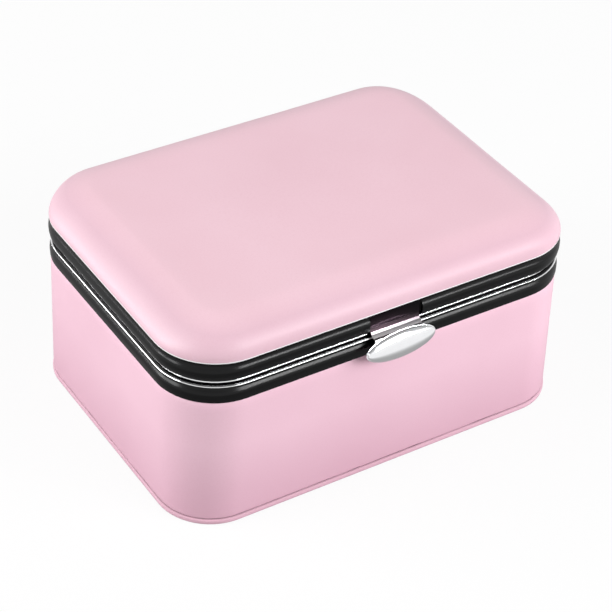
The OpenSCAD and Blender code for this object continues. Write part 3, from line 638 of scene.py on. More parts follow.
# %% [markdown]
# ## The base cover
# One strip of leather is wrapped round the board walls. Its upper edge runs under the black
# frame and its lower edge is turned in just above the bottom panel, which leaves a fine open
# seam. Cloth could be shrunk onto the box, but the strip is glued and follows the board closely.
# So it is a section carried round, and the rings of the wall get a very small push from a noise,
# which breaks the highlight as glued leather does.


# %% Leather on the base
def slightly_wavy(vertices, amount, scale, seed):
    """Moves points along the level direction away from the middle by a smooth noise."""
    moved = []
    for v in vertices:
        outward = Vector((v.x, v.y - middle_y, 0)).normalized()
        push = noise.noise(Vector((v.x * scale, v.y * scale, v.z * scale + seed)))
        moved.append(v + outward * push * amount)
    return moved


wall_foot = low("base_leather")[2]
wall_steps = 14
turned_foot = ((-0.8, 0.4), (-0.55, 0.0), (-0.3, 0.0), (-0.1, 0.1), (0.0, 0.35), (0.02, 1.0), (0.0, 2.5))
wall_section = [(out * MM, wall_foot + z * MM) for out, z in turned_foot]
wall_section += [(0.0, wall_foot + (band_foot - wall_foot) * t / wall_steps)
                 for t in range(1, wall_steps)]
wall_section += [(-0.02 * MM, band_foot - 0.35 * MM), (-0.15 * MM, band_foot - 0.08 * MM),
                 (-0.3 * MM, band_foot), (-0.8 * MM, band_foot)]
wall_vertices, wall_faces = banded([ring(out, z) for out, z in wall_section], True)
base_cover = new_piece("base_cover", slightly_wavy(wall_vertices, 0.05 * MM, 35, 3),
                       wall_faces, wall_hide)
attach(base_cover, "base")
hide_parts("base_leather")

# %% [markdown]
# The bottom panel is a thin board wrapped in the same leather. Its edge is rounded by the
# leather that folds over it, and it stands a hair proud of the walls. A bevelled box would do from
# afar; rings with the real rounding follow the tighter corners of the base exactly.

# %% Covered bottom panel
panel_top = high("bottom_panel")[2]
panel_lip = high("bottom_panel")[0] - half_width
panel_rings = [(-12 * MM, 0.0), (panel_lip - 0.6 * MM, 0.0), (panel_lip - 0.3 * MM, 0.06 * MM),
               (panel_lip - 0.08 * MM, 0.28 * MM), (panel_lip, 0.7 * MM),
               (panel_lip, panel_top - 0.6 * MM), (panel_lip - 0.08 * MM, panel_top - 0.25 * MM),
               (panel_lip - 0.35 * MM, panel_top - 0.04 * MM), (panel_lip - 0.7 * MM, panel_top),
               (-12 * MM, panel_top)]
panel_vertices, panel_faces = capped([ring(out, z) for out, z in panel_rings])
# The lower end looks down, so its points run the other way round.
panel_faces[-2] = tuple(reversed(panel_faces[-2]))
# The panel wears the darker copy of the hide, which is painted shade.
bottom_cover = new_piece("bottom_cover", panel_vertices, panel_faces, painted_shade_foot_hide)
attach(bottom_cover, "base")
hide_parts("bottom_panel")

# %% [markdown]
# ## The lid cover
# The top of the lid is leather drawn tight over foam. It rises from a short upright flank in a
# full, soft curve and runs almost level over the middle, with a slight crown. A subdivided box
# would round the corners in plan as well, and they have to match the frame below. So the cover is
# built as rings that move inward and up along the curve, then shrink towards a short ridge line
# in the middle of the lid, so that the crown has no pole and no pinch.


# %% Padded leather of the lid
lid_out = high("lid_leather")[0] - half_width
flank_top = lid_edge + 1 * MM
pad_run = 16 * MM
pad_rise = lid_top - flank_top
end_fullness, long_fullness = 1.5, 2.1
crown = 0.4 * MM
facing = [(b - a) / MM for a, b in zip(outline(0), outline(MM))]


def pad_ring(climb, inside=0.0):
    """One ring of the padded edge; climb runs from 0 at the flank to 1 on the top."""
    turn = pi / 2 * climb
    points = []
    for p, way in zip(outline(0), facing):
        fullness = long_fullness + (end_fullness - long_fullness) * way.x ** 2
        out = lid_out - pad_run * (1 - cos(turn) ** (2 / fullness)) - inside
        points.append(Vector((p.x + way.x * out, p.y + way.y * out,
                              flank_top + pad_rise * sin(turn) ** (2 / fullness) - inside)))
    return points


def top_rings(shoulder, top, rise, steps=16):
    """Rings from the shoulder that shrink to a short ridge line over the middle of the lid."""
    ridge = half_width - half_depth
    rings = []
    for k in range(1, steps + 1):
        t = k / steps
        rings.append([Vector((p.x + (max(-ridge, min(ridge, p.x)) - p.x) * t,
                              p.y + (middle_y - p.y) * t,
                              top + rise * sin(pi / 2 * t) ** 2)) for p in shoulder])
    return rings


under = [(-0.6 * MM, lid_edge + 0.3 * MM), (-0.6 * MM, lid_edge + 0.04 * MM)]
turned = [(lid_out - 0.4 * MM, lid_edge), (lid_out - 0.16 * MM, lid_edge + 0.03 * MM),
          (lid_out - 0.02 * MM, lid_edge + 0.16 * MM), (lid_out + 0.03 * MM, lid_edge + 0.4 * MM),
          (lid_out + 0.01 * MM, lid_edge + 0.7 * MM)]
pad_steps = 20
cover_rings = [ring(out, z) for out, z in under + turned]
cover_rings += [pad_ring(k / pad_steps) for k in range(pad_steps + 1)]
cover_rings += top_rings(cover_rings[-1], lid_top, crown)
cover_vertices, cover_faces = banded(cover_rings, False)


def softly_uneven(v):
    """The foam gives the tight leather a very shallow unevenness, none of it at the edge."""
    free = min(1.0, max(0.0, (v.z - flank_top) / (4 * MM)))
    push = noise.noise(Vector((v.x * 28, v.y * 28, 1.7))) + 0.4 * noise.noise(v * 70)
    return v + Vector((0, 0, push * 0.12 * MM * free))


lid_cover = new_piece("lid_cover", [softly_uneven(v) for v in cover_vertices], cover_faces,
                      lid_hide, 60)
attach(lid_cover, "lid")
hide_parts("lid_leather")

# %% [markdown]
# The foam under the leather is never seen on the finished case, but a view of the separate parts
# shows it. It has the same form, a little more than the leather's thickness further in, so the
# same rings are used again, and it lies on the board of the lid.

# %% Foam under the leather
board_top = high("lid_shell")[2]
foam_inside = 1.0 * MM
foam_rings = [pad_ring(k / pad_steps, foam_inside) for k in range(pad_steps + 1)]
foam_rings = [r for r in foam_rings if min(p.z for p in r) > board_top + 0.15 * MM]
bed = [Vector((p.x, p.y, board_top + 0.05 * MM)) for p in foam_rings[0]]
foam_rings = [bed] + foam_rings + top_rings(foam_rings[-1], lid_top - foam_inside, crown)
foam_vertices, foam_faces = banded(foam_rings, False)
foam_faces.append(tuple(range(len(bed))))
lid_padding = new_piece("lid_padding", [softly_uneven(v) for v in foam_vertices], foam_faces,
                        foam_cream, 60)
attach(lid_padding, "lid")
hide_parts("lid_foam")

# %% [markdown]
# ## The rim frames
# Each frame is an extruded channel that hooks over the edge of a wall. Its band swells outward
# and rolls in towards the top, where it catches one long highlight, and the band of the lid is
# drawn in at its foot, over the chrome inlay. The face is given by how far it leans at each share
# of its height, because the lean decides where the highlight falls. The hinges are let into both
# frames: their seats and the scallops round the barrels are cut out with booleans, which is how
# they are milled, and that saves drawing a second section for the back.


# %% Helpers for the section of a frame
band_steps = 20


def rolled_band(foot, top, out, leans):
    """Points up the face of a band; leans lists (share of the height, degrees it leans inward)."""
    points = [(out, foot)]
    for k in range(1, band_steps + 1):
        t = (k - 0.5) / band_steps
        for (t0, a0), (t1, a1) in zip(leans, leans[1:]):
            if t0 <= t <= t1:
                lean = radians(a0 + (a1 - a0) * (t - t0) / (t1 - t0))
                out -= (top - foot) / band_steps * tan(lean)
                break
        points.append((out, foot + (top - foot) * k / band_steps))
    return points


def corner_round(start, corner, end, radius, steps=4):
    """Points that round off the corner between two straight stretches of a section."""
    a = (Vector(start) - Vector(corner)).normalized() * radius + Vector(corner)
    b = (Vector(end) - Vector(corner)).normalized() * radius + Vector(corner)
    middle = Vector(corner)
    return [tuple(a * (1 - t) ** 2 + middle * 2 * t * (1 - t) + b * t ** 2)
            for t in (i / steps for i in range(steps + 1))]


def rounded_section(points, radii):
    """Rounds each corner of a closed section by its own radius; 0 keeps it sharp."""
    done = []
    for i, (point, radius) in enumerate(zip(points, radii)):
        if radius:
            done += corner_round(points[i - 1], point, points[(i + 1) % len(points)], radius)
        else:
            done.append(tuple(point))
    return done


# %% Helpers for cuts and bevels
def modelled(piece):
    """The piece's mesh with its modifiers carried out, and none left on it."""
    applied = bpy.data.meshes.new_from_object(
        piece.evaluated_get(bpy.context.evaluated_depsgraph_get()))
    old = piece.data
    piece.modifiers.clear()
    piece.data = applied
    bpy.data.meshes.remove(old)
    return piece


def cut_away(piece, cutters, smooth_angle=fold_angle):
    """Cuts each cutter out of the piece and removes the cutters."""
    for cutter in cutters:
        carve = piece.modifiers.new("carve", "BOOLEAN")
        carve.operation = "DIFFERENCE"
        carve.solver = "EXACT"
        carve.object = cutter
    bpy.context.view_layer.update()
    modelled(piece)
    for cutter in cutters:
        bpy.data.objects.remove(cutter)
    smooth(piece.data, smooth_angle)
    return piece


def softened(piece, width, segments=2, angle=35):
    """A small rounding on every sharp edge, so that edges catch the light."""
    edge = piece.modifiers.new("edge", "BEVEL")
    edge.width = width
    edge.segments = segments
    edge.limit_method = "ANGLE"
    edge.angle_limit = radians(angle)
    edge.harden_normals = True
    return piece


def block(name, corner_low, corner_high, material):
    """A plain box between its lowest and its highest corner."""
    x0, y0, z0 = corner_low
    x1, y1, z1 = corner_high
    vertices = [Vector((x, y, z)) for x in (x0, x1) for y in (y0, y1) for z in (z0, z1)]
    faces = [(0, 1, 3, 2), (4, 6, 7, 5), (0, 4, 5, 1), (2, 3, 7, 6), (0, 2, 6, 4), (1, 5, 7, 3)]
    return new_piece(name, vertices, faces, material)


# %% Cutters for the hinges
hinge_low, hinge_high = low("hinge_pins"), high("hinge_pins")
barrel_y = (hinge_low[1] + hinge_high[1]) / 2
barrel_z = (hinge_low[2] + hinge_high[2]) / 2
seat_half, seat_deep = 10 * MM, 4.2 * MM
scallop_half, scallop_radius = 10.3 * MM, 2.1 * MM
hinge_x = (hinge_high[0] - seat_half, hinge_low[0] + seat_half)
front_y = middle_y - half_depth
clear = 5 * MM
print("hinges at x", [round(x, 4) for x in hinge_x], "m")


def rod(name, x0, x1, y, z, radius, material, sides=48):
    """A round bar along X."""
    turns = [2 * pi * i / sides for i in range(sides)]
    vertices, faces = capped([[Vector((x, y + radius * cos(a), z + radius * sin(a))) for a in turns]
                              for x in (x0, x1)])
    return new_piece(name, vertices, faces, material)


def hinge_rooms(name, room_low, room_high):
    """A block over each hinge, from inside the wall to well behind the barrel."""
    return [block(name, (x - seat_half, middle_y + half_depth - seat_deep, room_low),
                  (x + seat_half, barrel_y + clear, room_high), frame_black) for x in hinge_x]


def hinge_cutters(seat_low, seat_high):
    """Scallops round the barrels and seats for the leaves, in turn."""
    scallops = [rod("scallop", x - scallop_half, x + scallop_half, barrel_y, barrel_z,
                    scallop_radius, frame_black) for x in hinge_x]
    seats = hinge_rooms("seat", seat_low, seat_high)
    return [cutter for pair in zip(scallops, seats) for cutter in pair]


# %% Frame of the base
inlay_foot = low("base_trim")[2]
board_out, flange, lip = -0.8 * MM, 1.5 * MM, 3 * MM
base_seat = -0.55 * MM
rim_inside, lip_inside = -4.5 * MM, -3.2 * MM
base_leans = ((0, -12), (0.2, -4), (0.5, 2), (0.64, 26), (0.7, 33), (0.82, 33), (0.9, 8), (1, 4))
base_points = ([(board_out, band_foot)]
               + rolled_band(band_foot, inlay_foot, 0.1 * MM, base_leans)
               + [(base_seat, inlay_foot), (base_seat, parting), (rim_inside, parting),
                  (rim_inside, parting - lip), (lip_inside, parting - lip),
                  (lip_inside, parting - flange), (board_out, parting - flange)])
base_radii = [0, 0.12 * MM] + [0] * (band_steps - 1)
base_radii += [0.12 * MM, 0, 0.1 * MM, 0.35 * MM, 0.3 * MM, 0.2 * MM, 0, 0]
base_rim = carried_round("base_rim", rounded_section(base_points, base_radii), frame_black)
window_half = 8.6 * MM
window = block("window", (-window_half, front_y - clear, band_foot - 0.01 * MM),
               (window_half, front_y + 3.3 * MM, band_foot + 4 * MM), frame_black)
cut_away(base_rim, hinge_cutters(parting - 0.6 * MM, parting + 1 * MM) + [window])
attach(base_rim, "base")
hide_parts("base_frame")

# %% Frame of the lid
lid_inlay_top = high("lid_trim")[2]
band_top = high("lid_frame")[2]
lid_wall_foot = low("lid_shell")[2]
lid_seat, lid_board_out = -1.7 * MM, -0.62 * MM
channel_inside, channel_wall = -4.4 * MM, -3.0 * MM
channel_top = lid_wall_foot + 2.2 * MM
lid_leans = ((0, -60), (0.2, -16), (0.4, -3), (0.54, 3), (0.64, 26), (0.69, 33), (0.75, 33),
             (0.82, 3), (1, 0))
lid_points = ([(channel_inside, lid_foot), (lid_seat, lid_foot), (lid_seat, lid_inlay_top)]
              + rolled_band(lid_inlay_top, band_top, -1.12 * MM, lid_leans)
              + [(lid_board_out, band_top), (lid_board_out, lid_wall_foot),
                 (channel_wall, lid_wall_foot), (channel_wall, channel_top),
                 (channel_inside, channel_top)])
lid_radii = [0.35 * MM, 0.1 * MM, 0, 0.1 * MM] + [0] * (band_steps + 3) + [0.2 * MM, 0.3 * MM]
lid_rim = carried_round("lid_rim", rounded_section(lid_points, lid_radii), frame_black)
notch_half = 10.6 * MM
notch = block("notch", (-notch_half, front_y - clear, lid_foot - clear),
              (notch_half, front_y + 1.5 * MM, band_top + clear), frame_black)
cut_away(lid_rim, hinge_cutters(lid_foot - 1 * MM, lid_foot + 0.6 * MM) + [notch])
softened(lid_rim, 0.22 * MM, 3, 50)
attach(lid_rim, "lid")
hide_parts("lid_frame")


# %% [markdown]
# The chrome inlays are half-oval strips pressed into the rebates of the frames. A flat strip would
# turn bright or dark as a whole when the view changes; a sine gives the half oval, whose round
# face holds a fine line of light. The strip of the lid stops at the notch, and both strips
# are cut at the hinges.


# %% Chrome inlays
bead_out, bead_angle = 0.55 * MM, 80


def bead(seat, foot, top, steps=12):
    """A half oval on a seat, from its foot to its top."""
    return [(seat + bead_out * sin(pi * i / steps), foot + (top - foot) / 2 * (1 - cos(pi * i / steps)))
            for i in range(steps + 1)]


base_bead = bead(base_seat, inlay_foot, parting)
base_inlay = carried_round("base_inlay", base_bead, inlay_chrome, bead_angle)
cut_away(base_inlay, hinge_rooms("gap", band_foot, lid_top), bead_angle)
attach(base_inlay, "base")
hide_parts("base_trim")

lid_bead = bead(lid_seat, lid_foot, lid_inlay_top)
lid_inlay = carried_round("lid_inlay", lid_bead, inlay_chrome, bead_angle)
notch_gap = block("gap", (-notch_half, front_y - clear, lid_foot - clear),
                  (notch_half, front_y + clear, band_top), frame_black)
cut_away(lid_inlay, hinge_rooms("gap", band_foot, lid_top) + [notch_gap], bead_angle)
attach(lid_inlay, "lid")
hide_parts("lid_trim")

# %% [markdown]
# ## The catch
# The lever is bent from one plate: it lies in the notch of the upper frame, sweeps out in a cove
# over both chrome lines, and turns down into a sloped web that carries the thumb piece. A flat
# plate could be bent with a modifier. Drawing the bent section once is surer, because the cove has
# to clear the inlays, and a width for each point of the section lets the plate narrow downwards.

# %% Sizes of the catch
plate_top = high("catch_plate")[2]
plate_half_top, plate_half_foot = 10.3 * MM, 9.8 * MM
plate_face, plate_thick, cove = -0.5 * MM, 0.6 * MM, 3.2 * MM
cove_out, cove_z = plate_face + cove, parting + plate_thick + cove
seat_out, seat_z = cove_out, parting + plate_thick / 2
web_thick, thumb_slope = 0.5 * MM, radians(18)
thumb_half_length, thumb_half_height, thumb_down = 14.1 * MM, 4.9 * MM, 3.8 * MM
thumb_askew = radians(2.5)
pivot_y = (low("catch_pin")[1] + high("catch_pin")[1]) / 2
pivot_z = (low("catch_pin")[2] + high("catch_pin")[2]) / 2
lever_foot = pivot_z - 1.3 * MM
print("pivot", round(pivot_z, 4), "m high, cove out to", round(cove_out, 4), "m")


def slope_out(z):
    """Distance in front of the leather of the sloped plane behind the thumb piece."""
    return seat_out + (seat_z - z) * sin(thumb_slope) / cos(thumb_slope)


def web_back(z):
    return slope_out(z) - web_thick / cos(thumb_slope)


# %% Catch lever
def front_bar(name, section, half_at, material, smooth_angle=fold_angle, shift=0.0):
    """A closed section of (distance in front of the leather, height); half_at gives its half width."""
    vertices, faces = capped([[Vector((shift + side * half_at(z), front_y - out, z))
                               for out, z in section] for side in (-1, 1)])
    return new_piece(name, vertices, faces, material, smooth_angle)


def lever_half(z):
    share = min(1.0, max(0.0, (z - seat_z) / (plate_top - seat_z)))
    return plate_half_foot + (plate_half_top - plate_half_foot) * share


bend = [pi + pi / 2 * i / 16 for i in range(17)]
lever_section = ([(plate_face, plate_top), (plate_face, (plate_top + cove_z) / 2)]
                 + [(cove_out + cove * cos(a), cove_z + cove * sin(a)) for a in bend]
                 + [(slope_out(lever_foot), lever_foot), (web_back(lever_foot), lever_foot),
                    (web_back(parting - 0.2 * MM), parting - 0.2 * MM)]
                 + [(cove_out + (cove + plate_thick) * cos(a), cove_z + (cove + plate_thick) * sin(a))
                    for a in reversed(bend[:-2])]
                 + [(plate_face - plate_thick, plate_top)])
lever = front_bar("catch_lever", lever_section, lever_half, plate_chrome, 30)
softened(lever, 0.13 * MM, 3)
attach(lever, "catch")
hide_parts("catch_plate")

# %% [markdown]
# Behind the web two ears run in through the window of the base frame to the pivot pin, and a
# sloped hook nose reaches in to the keeper of the lid. They are plain bars of the same kind as
# the lever, and the bore for the pin is a boolean.

# %% Ears
ear_x, ear_half, ear_radius, ear_end = 5.8 * MM, 0.6 * MM, 1.3 * MM, 1.2 * MM
bore_radius, bore_half = 0.65 * MM, 20 * MM
pin_out = -0.6 * MM
for side, end in ((-1, "left"), (1, "right")):
    ear = [(pin_out + ear_radius * cos(radians(a)), pivot_z + ear_radius * sin(radians(a)))
           for a in range(90, 271, 15)]
    ear += [(web_back(z) + 0.25 * MM, z) for z in (pivot_z - ear_end, pivot_z + ear_end)]
    lever_ear = front_bar("lever_ear_" + end, ear, lambda z: ear_half, plate_chrome,
                          shift=side * ear_x)
    cut_away(lever_ear, [rod("bore", -bore_half, bore_half, pivot_y, pivot_z, bore_radius,
                             plate_chrome)])
    softened(lever_ear, 0.1 * MM, 2)
    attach(lever_ear, "catch")

# %% Hook nose
nose_foot = lid_wall_foot + 2 * MM
nose_back, nose_tip, nose_half = -0.8 * MM, -2.0 * MM, 2.8 * MM
nose_section = [(nose_back, nose_foot), (nose_tip, nose_foot), (nose_tip, nose_foot + 0.33 * MM),
                (nose_back, nose_foot + 1.6 * MM)]
lever_nose = front_bar("lever_nose", nose_section, lambda z: nose_half, plate_chrome)
softened(lever_nose, 0.08 * MM, 2)
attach(lever_nose, "catch")

# %% [markdown]
# The thumb piece is an oval dome on a thin rim plate. A scaled sphere would be too pointed at its
# ends and would have no foot. So both are made of rings in polar form on the slope of the web:
# the angle runs round the oval and the share runs from the middle to the edge. The dome turns
# under at its foot, which leaves a fine dark groove between it and the rim. The whole oval sits a
# touch askew on its web, as a riveted piece does.


# %% Thumb piece
def on_thumb(x, up, front):
    """A point on the thumb piece: along it, up its slope and in front of the web, from its middle."""
    along = x * cos(thumb_askew) - up * sin(thumb_askew)
    climb = x * sin(thumb_askew) + up * cos(thumb_askew) - thumb_down
    out = seat_out - climb * sin(thumb_slope) + front * cos(thumb_slope)
    return Vector((along, front_y - out,
                   seat_z + climb * cos(thumb_slope) + front * sin(thumb_slope)))


def oval(name, section, material, sides=112):
    """A solid oval; section gives (share of the radius, inset in mm, distance in front in mm)."""
    rings = [[on_thumb((thumb_half_length - inset * MM) * share * cos(2 * pi * i / sides),
                       (thumb_half_height - inset * MM) * share * sin(2 * pi * i / sides),
                       front * MM) for i in range(sides)] for share, inset, front in section]
    vertices, faces = banded(rings, False)
    piece = new_piece(name, vertices, faces, material, 60)
    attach(piece, "catch")
    return piece


oval("thumb_rim", [(0, 0, 0.02), (1, 0.14, 0.02), (1, 0.03, 0.06), (1, 0, 0.16), (1, 0, 0.28),
                   (1, 0.03, 0.37), (1, 0.12, 0.42), (1, 1.0, 0.42), (0, 0, 0.42)], thumb_chrome)
dome = [(0, 0, 0.4), (1, 0.95, 0.4), (1, 0.85, 0.5), (1, 0.5, 0.66), (1, 0.4, 0.8)]
dome += [(cos(pi / 2 * i / 16), 0.4, 0.8 + 1.5 * sin(pi / 2 * i / 16)) for i in range(1, 16)]
dome += [(0, 0.4, 2.3)]
thumb_dome = oval("thumb_dome", dome, thumb_chrome)
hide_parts("thumb_button")

# %% [markdown]
# ## Inside the case
# The card linings, the dividers, the boards and the small metal parts keep their CAD shapes. They
# could be modelled again, but they are flat card and plain metal, and the right finish with a
# bevelled edge is all they need. The ring rolls, the ribbons and the frame round the mirror are
# soft, so they get shapes of their own further down.

# %% Materials and edges of the kept nodes
kept_finishes = ((pale_velvet, ("base_lining", "lid_lining", "tray_lining", "base_dividers",
                                "tray_dividers", "tray_ledges")),
                 (board_black, ("base_shell", "lid_shell", "tray_shell")),
                 (hinge_nickel, ("hinge_base_leaves", "hinge_lid_leaves", "hinge_pins",
                                 "hinge_base_rivets", "hinge_lid_rivets")),
                 (steel_grey, ("catch_bracket", "catch_pin", "catch_spring", "catch_keeper")),
                 (mirror_face, ("mirror_glass",)))
for material, names in kept_finishes:
    for name in names:
        nodes[name].data.materials.clear()
        nodes[name].data.materials.append(material)
kept_edges = (("base_dividers", 0.6, 3), ("tray_dividers", 0.6, 3), ("tray_shell", 0.3, 2),
              ("mirror_glass", 0.5, 2), ("hinge_base_leaves", 0.12, 2), ("hinge_lid_leaves", 0.12, 2))
for name, width, segments in kept_edges:
    softened(nodes[name], width * MM, segments)
print("kept nodes:", sum(1 for n in nodes.values() if n.data.materials))

# %% [markdown]
# ## Soft pieces inside
# The ring rolls are velvet tubes filled with foam. A bar with round ends would look turned from
# wood. So one roll is drawn slightly too thin, remeshed into even squares and then swollen by a
# short cloth simulation with air pressure, which rounds it as stuffing does. No point may move
# further than a small cap, so the roll stays in its place. Seven copies fill the left of the
# tray, each with small dents of its own, and the outer ones are pulled in at the tray's corners.


# %% A helper that swells a closed piece
swelling_frames = 20


def plumped(piece, voxel, pressure, cap):
    """Swells a closed piece with cloth and air pressure, then smooths it."""
    even = piece.modifiers.new("even", "REMESH")
    even.mode = "VOXEL"
    even.voxel_size = voxel
    bpy.context.view_layer.update()
    modelled(piece)
    start = [v.co.copy() for v in piece.data.vertices]
    air = piece.modifiers.new("air", "CLOTH")
    air.settings.use_pressure = True
    air.settings.uniform_pressure_force = pressure
    air.settings.effector_weights.gravity = 0
    for moment in range(1, swelling_frames + 1):
        bpy.context.scene.frame_set(moment)
    modelled(piece)
    longest = 0.0
    for v, origin in zip(piece.data.vertices, start):
        move = v.co - origin
        longest = max(longest, move.length)
        if move.length > cap:
            v.co = origin + move * (cap / move.length)
    bpy.context.scene.frame_set(1)
    print(piece.name, "swelled by up to", round(longest / MM, 2), "mm before the cap")
    finer = piece.modifiers.new("finer", "SUBSURF")
    finer.levels = 1
    finer.render_levels = 1
    bpy.context.view_layer.update()
    modelled(piece)
    smooth(piece.data, 80)
    return piece


# %% One roll
rolls_low, rolls_high = low("ring_rolls"), high("ring_rolls")
roll_half, roll_end, roll_hem = 6.65 * MM, 3 * MM, 1.5 * MM
roll_foot, roll_height = rolls_low[2] + 0.25 * MM, rolls_high[2] - rolls_low[2] - 0.6 * MM
roll_middle = roll_height / 2
arch_steps, end_steps = 18, 5
arch = [pi * i / arch_steps for i in range(arch_steps + 1)]
roll_section = [(roll_half * cos(a), roll_height - roll_half + roll_half * sin(a)) for a in arch]
roll_section += [(-roll_half, roll_middle), (-roll_half, roll_hem), (-roll_half + roll_hem, 0),
                 (0, 0), (roll_half - roll_hem, 0), (roll_half, roll_hem), (roll_half, roll_middle)]
ends = [pi / 2 * i / end_steps for i in range(1, end_steps + 1)]
roll_stations = [(rolls_low[0] + 0.3 * MM + roll_end * (1 - cos(a)), sin(a)) for a in ends]
roll_stations += [(rolls_low[0] + rolls_high[0] - x, size) for x, size in reversed(roll_stations)]
roll_rings = []
for x, size in roll_stations:
    inset = roll_end * (1 - size)
    narrow, flat = (roll_half - inset) / roll_half, 1 - inset / roll_middle
    roll_rings.append([Vector((x, y * narrow, roll_foot + roll_middle + (z - roll_middle) * flat))
                       for y, z in roll_section])
roll_vertices, roll_faces = capped(roll_rings)
one_roll = plumped(new_piece("one_roll", roll_vertices, roll_faces, roll_velvet),
                   voxel=2 * MM, pressure=6.0, cap=0.3 * MM)

# %% Seven rolls in the tray
roll_count, roll_pitch = 7, 14.543 * MM
tray_inset, tray_bend = 7.2 * MM, 15.3 * MM
roll_reach = tray_bend - 0.2 * MM
bend_x, bend_y = half_width - tray_inset - tray_bend, half_depth - tray_inset - tray_bend
roll_points, roll_polygons = [], []
for k in range(roll_count):
    shift = (k - (roll_count - 1) / 2) * roll_pitch
    first = len(roll_points)
    for v in one_roll.data.vertices:
        dent = noise.noise(Vector((v.co.x * 60, k * 3.1, v.co.z * 90))) * 0.15 * MM
        p = Vector((v.co.x, v.co.y * (1 - 0.01 * (k % 3)) + shift, v.co.z + dent))
        past = Vector((p.x + bend_x, abs(p.y) - bend_y, 0))
        if past.x < 0 and past.y > 0 and past.length > roll_reach:
            pulled = past.normalized() * roll_reach
            p.x = pulled.x - bend_x
            p.y = (pulled.y + bend_y) * (1 if p.y > 0 else -1)
        roll_points.append(Vector((p.x, p.y + middle_y, max(p.z, rolls_low[2] + 0.1 * MM))))
    roll_polygons += [tuple(first + i for i in f.vertices) for f in one_roll.data.polygons]
bpy.data.objects.remove(one_roll)
ring_roll_pads = new_piece("ring_roll_pads", roll_points, roll_polygons, roll_velvet, 80)
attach(ring_roll_pads, "tray")
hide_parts("ring_rolls")

# %% [markdown]
# The pull tabs are short lengths of satin ribbon, folded over and glued between the tray and its
# lining. Cloth could be draped over a rod, but the fold is tiny and stiff with glue. So the
# ribbon is laid along a path that goes up one leg, over the fold and down the other, and a
# ripple from a noise keeps it from looking cut from sheet metal.


# %% Ribbon pull tabs
ribbon = 0.5 * MM
tabs_low, tabs_high = low("tray_pull_tabs"), high("tray_pull_tabs")
tab_half = (tabs_high[1] - tabs_low[1]) / 2 - 0.1 * MM
tab_fold = 0.62 * MM
fold_z = tabs_high[2] - tab_fold - ribbon / 2 - 0.05 * MM
leg_foot = tabs_low[2] + 0.1 * MM
leg_steps, fold_steps, tab_columns = 16, 12, 13

legs = [leg_foot + (fold_z - leg_foot) * i / leg_steps for i in range(leg_steps)]
fold = [pi * i / fold_steps for i in range(fold_steps + 1)]
tab_path = [(-tab_fold, z) for z in legs]
tab_path += [(-tab_fold * cos(a), fold_z + tab_fold * sin(a)) for a in fold]
tab_path += [(tab_fold, z) for z in reversed(legs)]


def ribbon_tab(name, side):
    """One folded tab: a flat ring of points round the ribbon at each place on its path."""
    middle_x = side * (tabs_high[0] - tab_fold - ribbon / 2 - 0.1 * MM)
    rows = []
    for i, (x, z) in enumerate(tab_path):
        before, after = tab_path[max(0, i - 1)], tab_path[min(len(tab_path) - 1, i + 1)]
        way = Vector((after[0] - before[0], 0, after[1] - before[1])).normalized()
        off = Vector((way.z, 0, -way.x)) * ribbon / 2
        row = []
        for sign in (1, -1):
            for j in range(tab_columns):
                y = tab_half * (2 * j / (tab_columns - 1) - 1) * sign
                ripple = noise.noise(Vector((y * 240, z * 160, side * 4.0))) * 0.05 * MM
                selvedge = 1.0 if abs(y) > tab_half * 0.9 else 0.86
                row.append(Vector((middle_x + x + ripple, middle_y + y, z)) + off * sign * selvedge)
        rows.append(row)
    vertices, faces = capped(rows)
    tab = new_piece(name, vertices, faces, ribbon_satin, 60)
    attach(tab, "tray")
    return tab


left_tab, right_tab = ribbon_tab("ribbon_tab_left", -1), ribbon_tab("ribbon_tab_right", 1)
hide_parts("tray_pull_tabs")
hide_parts("tray_pull_tabs")

# %% [markdown]
# The frame round the mirror is a card ring wrapped in padded velvet. The velvet is stretched tight,
# so no cloth simulation is needed: each ring of the section is a blend between the inner and
# the outer edge, raised by a sine. It laps under the edge of the glass, swells over the middle of
# the card and tucks in at the outside.


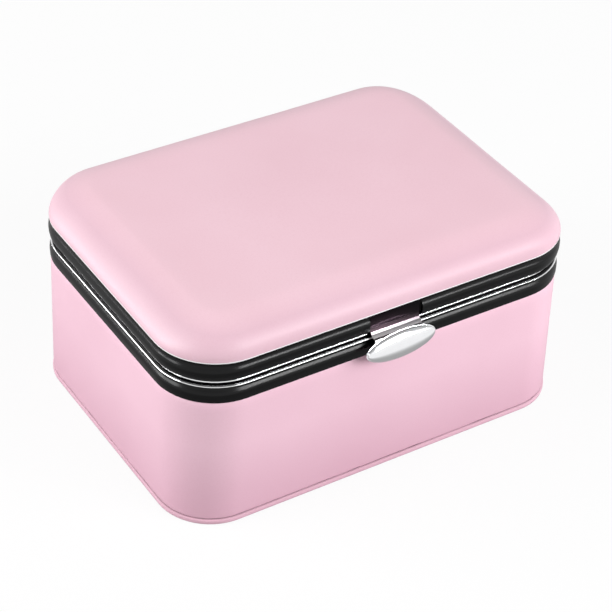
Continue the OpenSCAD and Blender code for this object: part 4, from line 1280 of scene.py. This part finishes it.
# %% Padded frame of the mirror
def rounded_ring(half_x, half_y, bend, z, corner_steps=14, side_steps=10):
    """A rounded rectangle about the middle of the case, with the same points as an outline."""
    points = []
    quarters = ((1, 1), (-1, 1), (-1, -1), (1, -1))
    for quarter, (sx, sy) in enumerate(quarters):
        turns = [pi / 2 * (quarter + i / corner_steps) for i in range(corner_steps + 1)]
        arc = [Vector((sx * (half_x - bend) + bend * cos(a),
                       sy * (half_y - bend) + bend * sin(a), 0)) for a in turns]
        nx, ny = quarters[(quarter + 1) % 4]
        end = Vector((nx * (half_x - bend) + bend * cos(turns[-1]),
                      ny * (half_y - bend) + bend * sin(turns[-1]), 0))
        points += arc + [arc[-1].lerp(end, i / side_steps) for i in range(1, side_steps)]
    return [p + Vector((0, middle_y, z)) for p in points]


frame_foot, frame_top = low("mirror_frame")[2], high("mirror_frame")[2]
glass_foot = low("mirror_glass")[2]
glass_half = (high("mirror_glass")[0], (high("mirror_glass")[1] - low("mirror_glass")[1]) / 2)
glass_bend, lap = 8 * MM, 3 * MM
outer_half = (high("mirror_frame")[0] - 0.1 * MM,
              (high("mirror_frame")[1] - low("mirror_frame")[1]) / 2 - 0.1 * MM)
outer_bend = 18.2 * MM
inner_half, inner_bend = (glass_half[0] - lap, glass_half[1] - lap), glass_bend - lap


def frame_ring(share, z):
    """A ring between the inner edge of the padded frame, at 0, and its outer edge, at 1."""
    inside = rounded_ring(*inner_half, inner_bend, z)
    outside = rounded_ring(*outer_half, outer_bend, z)
    return [a.lerp(b, share) for a, b in zip(inside, outside)]


pad_rings = [frame_ring(0.0, glass_foot - 0.05 * MM), frame_ring(0.0, glass_foot - 0.3 * MM)]
swell_steps = 14
for k in range(1, swell_steps):
    share = k / swell_steps
    depth = (glass_foot - 0.45 * MM - frame_foot) * sin(pi * share) ** 0.6
    pad_rings.append([p + Vector((0, 0, 0.06 * MM * noise.noise(p * 130)))
                      for p in frame_ring(share, glass_foot - 0.4 * MM - depth)])
pad_rings += [frame_ring(1.0, glass_foot - 0.2 * MM), frame_ring(1.0, frame_top - 0.3 * MM),
              frame_ring(0.97, frame_top - 0.05 * MM)]
rebate = (glass_half[0] + 0.1 * MM, glass_half[1] + 0.1 * MM, glass_bend + 0.1 * MM)
pad_rings += [rounded_ring(*rebate, z) for z in (frame_top - 0.05 * MM, glass_foot - 0.05 * MM)]
pad_vertices, pad_faces = banded(pad_rings, True)
mirror_pad = new_piece("mirror_pad", pad_vertices, pad_faces, pale_velvet, 50)
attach(mirror_pad, "lid")
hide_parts("mirror_frame")
